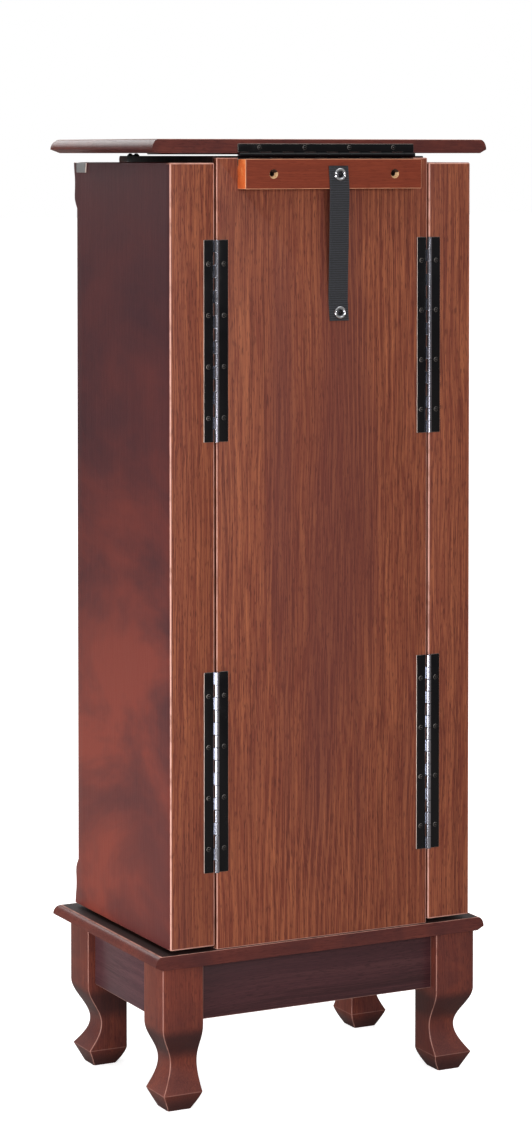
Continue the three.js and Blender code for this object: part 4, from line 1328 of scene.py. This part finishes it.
def rounded_path(corners, radius, step):
    """Even points on a line of (y, z) corners, with each bend as a short curve."""
    points = [corners[0]]
    for before, corner, after in zip(corners, corners[1:], corners[2:]):
        start = corner + (before - corner).normalized() * radius
        end = corner + (after - corner).normalized() * radius
        for i in range(9):
            t = i / 8
            points.append(start.lerp(corner, t).lerp(corner.lerp(end, t), t))
    points.append(corners[-1])
    even = [points[0]]
    travelled, target = 0.0, step
    for a, b in zip(points, points[1:]):
        span = (b - a).length
        while target <= travelled + span:
            even.append(a.lerp(b, (target - travelled) / span))
            target += step
        travelled += span
    even.append(points[-1])
    return even, travelled


def strap_path():
    low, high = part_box("anti_tip_strap")
    cleat_low, cleat_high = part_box("wall_cleat")
    on_cleat = cleat_high.y + STRAP_OFF
    on_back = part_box("back_panel")[1].y + STRAP_OFF
    corners = [(on_cleat, high.z), (on_cleat, cleat_low.z)]
    corners += [(on_back, low.z + STRAP_FLAT), (on_back, low.z)]
    middle_x = high.x - STRAP_WIDTH / 2
    return [Vector((0, y, z)) for y, z in corners], middle_x, high.z


strap_corners, strap_x, strap_top = strap_path()
strap_line, STRAP_LENGTH = rounded_path(strap_corners, BEND_RADIUS, RIB_PITCH / RIB_ROWS)
print("strap length", round(STRAP_LENGTH, 4))


# %% Strap mesh
def strap_section():
    """(across, above) points of the webbing's section, with rolled edges."""
    half, thick, roll = STRAP_WIDTH / 2, STRAP_THICKNESS, STRAP_THICKNESS / 2
    points = []
    for i in range(7):
        turn = -math.pi / 2 + math.pi * i / 6
        points.append((half - roll + roll * math.cos(turn), roll + roll * math.sin(turn)))
    across = 12
    span = STRAP_WIDTH - 2 * roll
    points += [(half - roll - span * i / across, thick) for i in range(1, across)]
    for i in range(7):
        turn = math.pi / 2 + math.pi * i / 6
        points.append((-half + roll + roll * math.cos(turn), roll + roll * math.sin(turn)))
    points += [(-half + roll + span * i / 6, 0.0) for i in range(1, 6)]
    return points


def strap():
    section = strap_section()
    rings, rib_rise, selvedge = [], 0.22 * MM, 1.4 * MM
    for k, point in enumerate(strap_line):
        before = strap_line[max(k - 1, 0)]
        after = strap_line[min(k + 1, len(strap_line) - 1)]
        way = (after - before).normalized()
        outward = Vector((0, -way.z, way.y))
        if outward.y < 0:
            outward = -outward
        rib = math.cos(2 * math.pi * k / RIB_ROWS)
        lean = strap_x - STRAP_LEAN * (strap_top - SCREW_FROM_END - point.z)
        ring = []
        for across, above in section:
            inside = abs(across) < STRAP_WIDTH / 2 - selvedge
            rise = rib_rise * rib if inside and above > STRAP_THICKNESS / 2 else 0.0
            place = point + outward * (above + rise)
            ring.append((lean + across, place.y, place.z))
        rings.append(ring)
    work = lofted(rings)
    work.verts.index_update()
    uv = work.loops.layers.uv.new("cloth")
    size = len(section)
    for face in work.faces:
        for loop in face.loops:
            k, i = divmod(loop.vert.index, size)
            loop[uv].uv = (section[i][0] * 1000, k * RIB_PITCH / RIB_ROWS * 1000)
    return finished(work, "strap_webbing", [WEBBING])


strap_piece = fit(strap(), "cabinet", "webbing", "anti_tip_strap")

# %% [markdown]
# ## Strap screws in cup washers
#
# A cup washer spreads the screw's load over the webbing. It is a pressed ring with a rolled rim, a
# dished inside and a polished crest, and the screw's head sits deep in it. The head is painted dark for
# the shade of the recess, with a painted highlight round its rim.

# %% Cup washers
WASHER_HEIGHT = 2.2 * MM


def strap_screws():
    for level in ("top", "bottom"):
        node = f"strap_screw_{level}"
        low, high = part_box(node)
        washer_radius = (high.x - low.x) / 2
        middle = Vector(((low.x + high.x) / 2, high.y, (low.z + high.z) / 2))
        base_height = -WASHER_HEIGHT
        rim = washer_radius * 0.8
        profile = [(0, base_height), (washer_radius * 0.97, base_height)]
        profile.append((washer_radius, base_height + 0.35 * MM))
        for i in range(9):
            turn = math.pi * i / 8
            inner_side = 1 if turn < math.pi / 2 else 1.3
            radius = rim + (washer_radius - 0.1 * MM - rim) * math.cos(turn) * inner_side
            height = base_height + 0.5 * MM + (WASHER_HEIGHT - 0.5 * MM) * math.sin(turn)
            profile.append((radius, height))
        cup = rim * 0.66
        profile += [(cup, base_height + 0.45 * MM), (0, base_height + 0.4 * MM)]
        washer = turned(f"{node}_washer", profile, CHROME, 40)
        head_radius = rim * 0.64
        head_profile = [(0, base_height + 0.3 * MM), (head_radius, base_height + 0.3 * MM)]
        for i in range(6):
            turn = math.pi / 2 * i / 6
            height = base_height + (0.8 + 0.7 * math.sin(turn)) * MM
            head_profile.append((head_radius * math.cos(turn), height))
        head_profile.append((0, base_height + 1.5 * MM))
        # The head is painted dark as shade, and its rim ring gets a painted highlight.
        head = turned(f"{node}_head", head_profile, STRAP_HEAD_PAINTED_SHADE, 28, (head_radius * 0.9, head_radius * 1.1))
        cut_out(head, cross_cutter(head_radius * 0.72, 0.9 * MM, 0.9 * MM, base_height + 1.5 * MM))
        place = Matrix.Translation(middle) @ Matrix.Rotation(math.radians(-90), 4, "X")
        fit(turn_mesh(washer, place), "cabinet", "chrome", node)
        fit(turn_mesh(head, place @ Matrix.Rotation(0.6, 4, "Z")), "cabinet", "chrome")


strap_screws()

# %% [markdown]
# ## Bumpers and catch plates
#
# The lid shuts on a rubber strip with two low domes, pressed on the top of each side panel at its
# outer front corner. Each door carries a small steel plate at its upper front corner, with a lip
# bent out at its rear end.

# %% Bumpers
BUMPER_LENGTH, BUMPER_WIDTH = 20 * MM, 5 * MM
BUMPER_FROM_FRONT = 0.5 * MM
LID_CLEARANCE = 0.2 * MM


def rounded_block(low, high, radius, steps=3):
    return round_edges(plain_box(low, high), radius, steps=steps)


def bumpers():
    lid_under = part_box("lid_board")[0].z
    for side, _ in SIDES:
        low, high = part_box(f"side_panel_{side}")
        middle_x = high.x - BUMPER_WIDTH / 2 if low.x > 0 else low.x + BUMPER_WIDTH / 2
        front = low.y + BUMPER_FROM_FRONT
        strip_top = high.z + (lid_under - high.z) * 0.45
        strip = rounded_block(
            Vector((middle_x - BUMPER_WIDTH / 2, front, high.z)),
            Vector((middle_x + BUMPER_WIDTH / 2, front + BUMPER_LENGTH, strip_top)),
            0.5 * MM,
        )
        piece = finished(strip, "strip", [RUBBER])
        rise = lid_under - LID_CLEARANCE - high.z
        dome_radius = BUMPER_WIDTH / 2
        profile = [(0, 0), (dome_radius, 0)]
        for i in range(1, 8):
            turn = math.pi / 2 * i / 8
            profile.append((dome_radius * math.cos(turn) ** 0.6, rise * math.sin(turn)))
        profile.append((0, rise))
        dome = turned("dome", profile, RUBBER, 24)
        step = Vector((0, BUMPER_LENGTH - 2 * dome_radius, 0))
        first = Vector((middle_x, front + dome_radius, high.z))
        domes = row("domes", dome, 2, first, step, RUBBER)
        drop(dome)
        fit(joined(f"lid_bumper_{side}", [piece, domes]), "cabinet", "black_steel")


bumpers()

# %% Catch plates
PLATE_LENGTH, PLATE_HEIGHT, PLATE_THICKNESS = 24 * MM, 10 * MM, 0.8 * MM
LIP_WIDTH, LIP_RISE, LIP_LEAN = 2.2 * MM, 0.9 * MM, 1.6 * MM
PLATE_FORWARD = 13 * MM  # from the panel's front edge, over the stile
PLATE_SUNK = 0.3 * MM


def catch_plate(side, direction):
    """A plate in the door's outer face, whose rear end is bent outwards and cut on a slant."""
    low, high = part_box(f"door_{side}_panel")
    face_x = high.x if direction > 0 else low.x
    front = low.y - PLATE_FORWARD
    top = high.z - 0.6 * MM
    outline = [(front, 0.0), (front + PLATE_LENGTH, 0.0)]
    outline += [(front + PLATE_LENGTH + LIP_WIDTH, LIP_RISE)]
    rings = []
    for z in (top - PLATE_HEIGHT, top):
        lean = LIP_LEAN * (z - top) / PLATE_HEIGHT
        slanted = [(y + lean if y > front else y, out) for y, out in outline]
        outer = [(face_x + direction * (out + PLATE_THICKNESS), y, z) for y, out in slanted]
        inner = [(face_x + direction * (out - PLATE_SUNK), y, z) for y, out in slanted]
        rings.append(outer + inner[::-1])
    work = lofted(rings, smooth_sides=False)
    bmesh.ops.recalc_face_normals(work, faces=work.faces)
    piece = finished(round_edges(work, 0.25 * MM), f"catch_plate_{side}", [PLATE_STEEL])
    paint_faces(piece, SHEARED_STEEL, lambda face: face.center.y > front + PLATE_LENGTH - 2 * MM)
    return fit(piece, f"door_{side}", "bright_steel")


for side, direction in SIDES:
    catch_plate(side, direction)

# %% [markdown]
# ## Knobs
#
# Every drawer and door has the same turned brass knob: a flat foot, a narrow neck and a flattened
# ball. The turner's few measured radii are joined by a smooth curve, and two fine grooves are cut
# round the ball's widest part. The high ring is where fingers polish the brass.

# %% Knobs
KNOB_RADII = [(6.5, 0), (6.5, 2), (4, 4), (3.6, 9), (7.2, 12), (9, 16), (7.6, 19.4), (3.5, 21)]


def catmull_rom(t, p, q, r, s):
    """The value at t between q and r, where p and s are their neighbours."""
    second, third = 2 * p - 5 * q + 4 * r - s, 3 * q - p - 3 * r + s
    return 0.5 * (2 * q + (r - p) * t + second * t**2 + third * t**3)


def smooth_curve(points, steps):
    """Catmull-Rom points through the given ones."""
    padded_points = [points[0], *points, points[-1]]
    curve = []
    for a, b, c, d in zip(padded_points, padded_points[1:], padded_points[2:], padded_points[3:]):
        for i in range(steps):
            t = i / steps
            curve.append(tuple(catmull_rom(t, *values) for values in zip(a, b, c, d)))
    curve.append(points[-1])
    return curve


def knob_profile():
    profile = [(0, 0)]
    for radius, height in smooth_curve(KNOB_RADII, 6):
        groove = 0.25 if abs(height - 15.2) < 0.35 or abs(height - 13.4) < 0.35 else 0.0
        profile.append(((min(radius, 9.0) - groove) * MM, height * MM))
    return profile + [(0, 21.0 * MM)]


def knob(node, body):
    low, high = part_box(node)
    place = Matrix.Translation(((low.x + high.x) / 2, high.y, (low.z + high.z) / 2))
    piece = turned(f"{node}_turned", knob_profile(), BRASS, 40, (8.2 * MM, 9.5 * MM))
    turn_mesh(piece, place @ Matrix.Rotation(math.radians(90), 4, "X"))
    return fit(piece, body, "antique_brass", node)


for drawer in DRAWERS:
    knob(f"{drawer}_knob", drawer)
for side, _ in SIDES:
    knob(f"door_{side}_knob", f"door_{side}")

# %% [markdown]
# ## Necklace hooks
#
# Inside each door a brass bar carries five wire hooks. One hook is a tube swept along a short curve,
# out from the bar, down and up again, with a ball on its tip so that it doesn't snag. The row tree
# repeats it along the bar, and two screws hold the bar to the door.

# %% Hooks
HOOK_COUNT = 5
WIRE = 1.5 * MM
BALL = 2.3 * MM
BAR_THICKNESS = 2.5 * MM
WIRE_SIDES = 12


def tube(points, radius):
    """A closed tube through points in the XZ plane, which ends flat."""
    rings = []
    for k, point in enumerate(points):
        before, after = points[max(k - 1, 0)], points[min(k + 1, len(points) - 1)]
        way = (after - before).normalized()
        across = Vector((0, 1, 0))
        up = way.cross(across)
        ring = []
        for i in range(WIRE_SIDES):
            turn = 2 * math.pi * i / WIRE_SIDES
            ring.append(point + radius * (across * math.cos(turn) + up * math.sin(turn)))
        rings.append(ring)
    return lofted(rings)


def hook_pattern(reach, lip):
    """A hook that starts at the origin and grows towards -X."""
    bend = 4 * MM
    path = [Vector((0.5 * MM, 0, 0)), Vector((-reach + bend, 0, -1.2 * MM))]
    for i in range(1, 9):
        turn = math.pi / 2 * i / 8
        along = -reach + bend - bend * math.sin(turn)
        path.append(Vector((along, 0, -1.2 * MM + bend * (1 - math.cos(turn)))))
    path.append(Vector((-reach, 0, lip - BALL)))
    wire = finished(tube(path, WIRE), "wire", [BRASS])
    work = bmesh.new()
    bmesh.ops.create_uvsphere(work, u_segments=16, v_segments=10, radius=BALL)
    layer = work.verts.layers.float.new("wear")
    for vert in work.verts:
        vert[layer] = 0.7
    bmesh.ops.translate(work, vec=Vector((-reach, 0, lip - BALL)), verts=work.verts)
    for face in work.faces:
        face.smooth = True
    return joined("hook", [wire, finished(work, "ball", [BRASS])])


def hooks(side, direction):
    low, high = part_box(f"door_{side}_hooks")
    height = 18 * MM
    span = high.y - low.y - height
    reach = high.x - low.x - BAR_THICKNESS - BALL
    bar_low, bar_high = Vector((0, low.y, 0)), Vector((BAR_THICKNESS, high.y, height))
    plate = finished(rounded_block(bar_low, bar_high, 0.9 * MM), "plate", [BRASS])
    hook = hook_pattern(reach, height / 2 + 6.5 * MM)
    step = Vector((0, span / (HOOK_COUNT - 1), 0))
    first = Vector((0, low.y + height / 2, height / 2 - 2 * MM))
    hook_row = row("hooks", hook, HOOK_COUNT, first, step, BRASS)
    screw = turn_mesh(screw_pattern(BRASS), Matrix.Rotation(math.radians(-90), 4, "Y"))
    screw_first = Vector((0, low.y + height / 2 + span / 8, height / 2))
    screw_row = row("screws", screw, 2, screw_first, Vector((0, span * 0.75, 0)), BRASS)
    drop(hook, screw)
    piece = joined(f"door_{side}_hook_bar", [plate, hook_row, screw_row])
    door_face = high.x if direction > 0 else low.x
    place = Matrix.Translation((door_face, 0, high.z - height)) @ Matrix.Diagonal((direction, 1, 1, 1))
    place = place @ Matrix.Translation((-BAR_THICKNESS, 0, 0))
    turn_mesh(piece, place)
    if direction < 0:
        piece.data.flip_normals()
    return fit(piece, f"door_{side}", "antique_brass", f"door_{side}_hooks")


for side, direction in SIDES:
    hooks(side, direction)

# %% [markdown]
# ## Gathered pouches
#
# Each door holds a soft pouch under its hooks for loose bracelets. It is one piece of flocked cloth,
# gathered on elastic at the top and along its foot, and stitched down at its sides. The cloth stands
# out in even folds that are deepest at the gathers and open towards the belly. The folds follow a
# formula.

# %% Pouch
POUCH_FOLDS = 9
CLOTH = 0.9 * MM
POUCH_COLUMNS, POUCH_ROWS = 176, 26


def pouch_depth(u, v, depth):
    """How far the cloth stands off the door, across (u) and up (v) the pouch."""
    sides = math.sin(math.pi * u) ** 0.4
    belly = 0.5 + 0.5 * math.sin(math.pi * min(1.0, v * 1.15 + 0.08)) ** 0.8
    gather = 0.2 + 0.8 * abs(2 * v - 1) ** 1.5
    uneven = 0.25 * math.sin(7 * u + 3 * v) + 0.15 * math.sin(23 * u)
    fold = math.sin(2 * math.pi * POUCH_FOLDS * u + uneven * 3)
    hem = 1.0 - 0.45 * math.exp(-(((v - 0.9) / 0.035) ** 2))
    return depth * sides * (belly * 0.66 * hem + 0.26 * gather * fold * (0.5 + 0.5 * belly))


def pouch(side, direction):
    low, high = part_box(f"door_{side}_pouch")
    depth = high.x - low.x - CLOTH - 1 * MM
    door_face = high.x if direction > 0 else low.x
    outer, inner = [], []
    for r in range(POUCH_ROWS + 1):
        v = r / POUCH_ROWS
        z = low.z + (high.z - low.z) * v
        for layer, shift in ((outer, CLOTH), (inner, 0.0)):
            line = []
            for c in range(POUCH_COLUMNS + 1):
                u = c / POUCH_COLUMNS
                stand = pouch_depth(u, v, depth) + shift + 0.2 * MM
                line.append(Vector((door_face - direction * stand, low.y + (high.y - low.y) * u, z)))
            layer.append(line)
    work = bmesh.new()
    skins = [[[work.verts.new(p) for p in line] for line in layer] for layer in (outer, inner)]
    for skin in skins:
        for a, b in zip(skin, skin[1:]):
            for c in range(POUCH_COLUMNS):
                work.faces.new((a[c], a[c + 1], b[c + 1], b[c])).smooth = True
    rims = [
        (skins[0][0], skins[1][0]),
        (skins[0][-1], skins[1][-1]),
        ([line[0] for line in skins[0]], [line[0] for line in skins[1]]),
        ([line[-1] for line in skins[0]], [line[-1] for line in skins[1]]),
    ]
    for first, second in rims:
        for i in range(len(first) - 1):
            work.faces.new((first[i], first[i + 1], second[i + 1], second[i])).smooth = True
    piece = finished(work, f"door_{side}_gathered_pouch", [FLOCKING])
    fit(piece, f"door_{side}", "velvet", f"door_{side}_pouch")
    return piece


for side, direction in SIDES:
    pouch(side, direction)

# %% [markdown]
# ## Drawer linings
#
# A flocked lining is cut as a cross, creased, and glued to the drawer's floor and walls. It stands a
# little below the wooden rim. One closed shell of cloth does it: an open box inside another.

# %% Linings
LINING = 0.8 * MM
RIM_SHOWN = 2.5 * MM
GLUE = 0.15 * MM


def lining(drawer):
    low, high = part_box(f"{drawer}_box")
    wall, floor = 6 * MM + GLUE, 4 * MM + GLUE
    x0, x1, y0, y1 = low.x + wall, high.x - wall, low.y + wall, high.y - wall
    z0, z1 = low.z + floor, high.z - RIM_SHOWN
    work = bmesh.new()

    def ring(inset, z):
        left, right, front, rear = x0 + inset, x1 - inset, y0 + inset, y1 - inset
        corners = [(left, front), (right, front), (right, rear), (left, rear)]
        return [work.verts.new((x, y, z)) for x, y in corners]

    outer_low, outer_high = ring(0, z0), ring(0, z1)
    inner_low, inner_high = ring(LINING, z0 + LINING), ring(LINING, z1)
    for a, b in ((outer_low, outer_high), (outer_high, inner_high), (inner_high, inner_low)):
        for i in range(4):
            j = (i + 1) % 4
            work.faces.new((a[i], a[j], b[j], b[i]))
    work.faces.new(outer_low)
    work.faces.new(inner_low)
    bmesh.ops.recalc_face_normals(work, faces=work.faces)
    round_edges(work, 0.35 * MM)
    piece = fit(finished(work, f"{drawer}_lining", [FLOCKING]), drawer, "velvet")
    width, length, height = x1 - x0, y1 - y0, z1 - z0
    flat = (width + 2 * height, length + 2 * height)
    return flat


for drawer in DRAWERS:
    print(drawer, "lining cut from", [round(x, 3) for x in lining(drawer)])

# %% [markdown]
# ## Tray and ring cushion
#
# Under the lid the tray has a flocked floor and flocked dividers, and half of it is filled by a
# cushion of foam rolls that hold rings between them. One roll is a small stuffed form: a block that
# a cloth simulation inflates until its sides are round and its ends are full. The row tree lays the
# rolls side by side. Inflating happens once, on a block of a few hundred faces.

# %% Tray
for node in ("tray_floor", "tray_dividers"):
    board(node, "cabinet", "velvet", FLOCKING, radius=1.4 * MM)

# %% Inflate a block into a stuffed roll
INFLATE_FRAMES = 20
MOST_SWELL = 1.6 * MM


def inflated(piece, voxel, pressure=4.0):
    remesh = piece.modifiers.new("even", "REMESH")
    remesh.mode = "VOXEL"
    remesh.voxel_size = voxel
    applied(piece)
    before = [vert.co.copy() for vert in piece.data.vertices]
    cloth = piece.modifiers.new("stuffing", "CLOTH")
    cloth.settings.use_pressure = True
    cloth.settings.uniform_pressure_force = pressure
    cloth.settings.effector_weights.gravity = 0
    for number in range(1, INFLATE_FRAMES + 1):
        bpy.context.scene.frame_set(number)
    applied(piece)
    bpy.context.scene.frame_set(1)
    for vert, start in zip(piece.data.vertices, before):
        moved = vert.co - start
        if moved.length > MOST_SWELL:
            vert.co = start + moved.normalized() * MOST_SWELL
    for face in piece.data.polygons:
        face.use_smooth = True
    finer = piece.modifiers.new("finer", "SUBSURF")
    finer.levels = finer.render_levels = 1
    return applied(piece)


# %% Ring cushion
ROLLS = 14


def ring_cushion():
    low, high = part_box("ring_cushion")
    pitch = (high.y - low.y) / ROLLS
    swell = 1.0 * MM
    roll_low = Vector((low.x + swell, -pitch / 2 + 0.5 * MM, low.z))
    roll_high = Vector((high.x - swell, pitch / 2 - 0.5 * MM, high.z - 1.5 * MM))
    block = finished(rounded_block(roll_low, roll_high, 4.5 * MM, steps=4), "roll", [FLOCKING])
    roll = inflated(block, 2.4 * MM)
    first = Vector((0, low.y + pitch / 2, 0))
    cushion = row("ring_rolls", roll, ROLLS, first, Vector((0, pitch, 0)), FLOCKING)
    drop(roll)
    for vert in cushion.data.vertices:
        vert.co.x = min(max(vert.co.x, low.x), high.x)
        vert.co.y = min(max(vert.co.y, low.y), high.y)
        vert.co.z = max(vert.co.z, low.z)
    for face in cushion.data.polygons:
        face.use_smooth = True
    fit(cushion, "cabinet", "velvet", "ring_cushion")
    print("ring cushion faces", len(cushion.data.polygons))


ring_cushion()
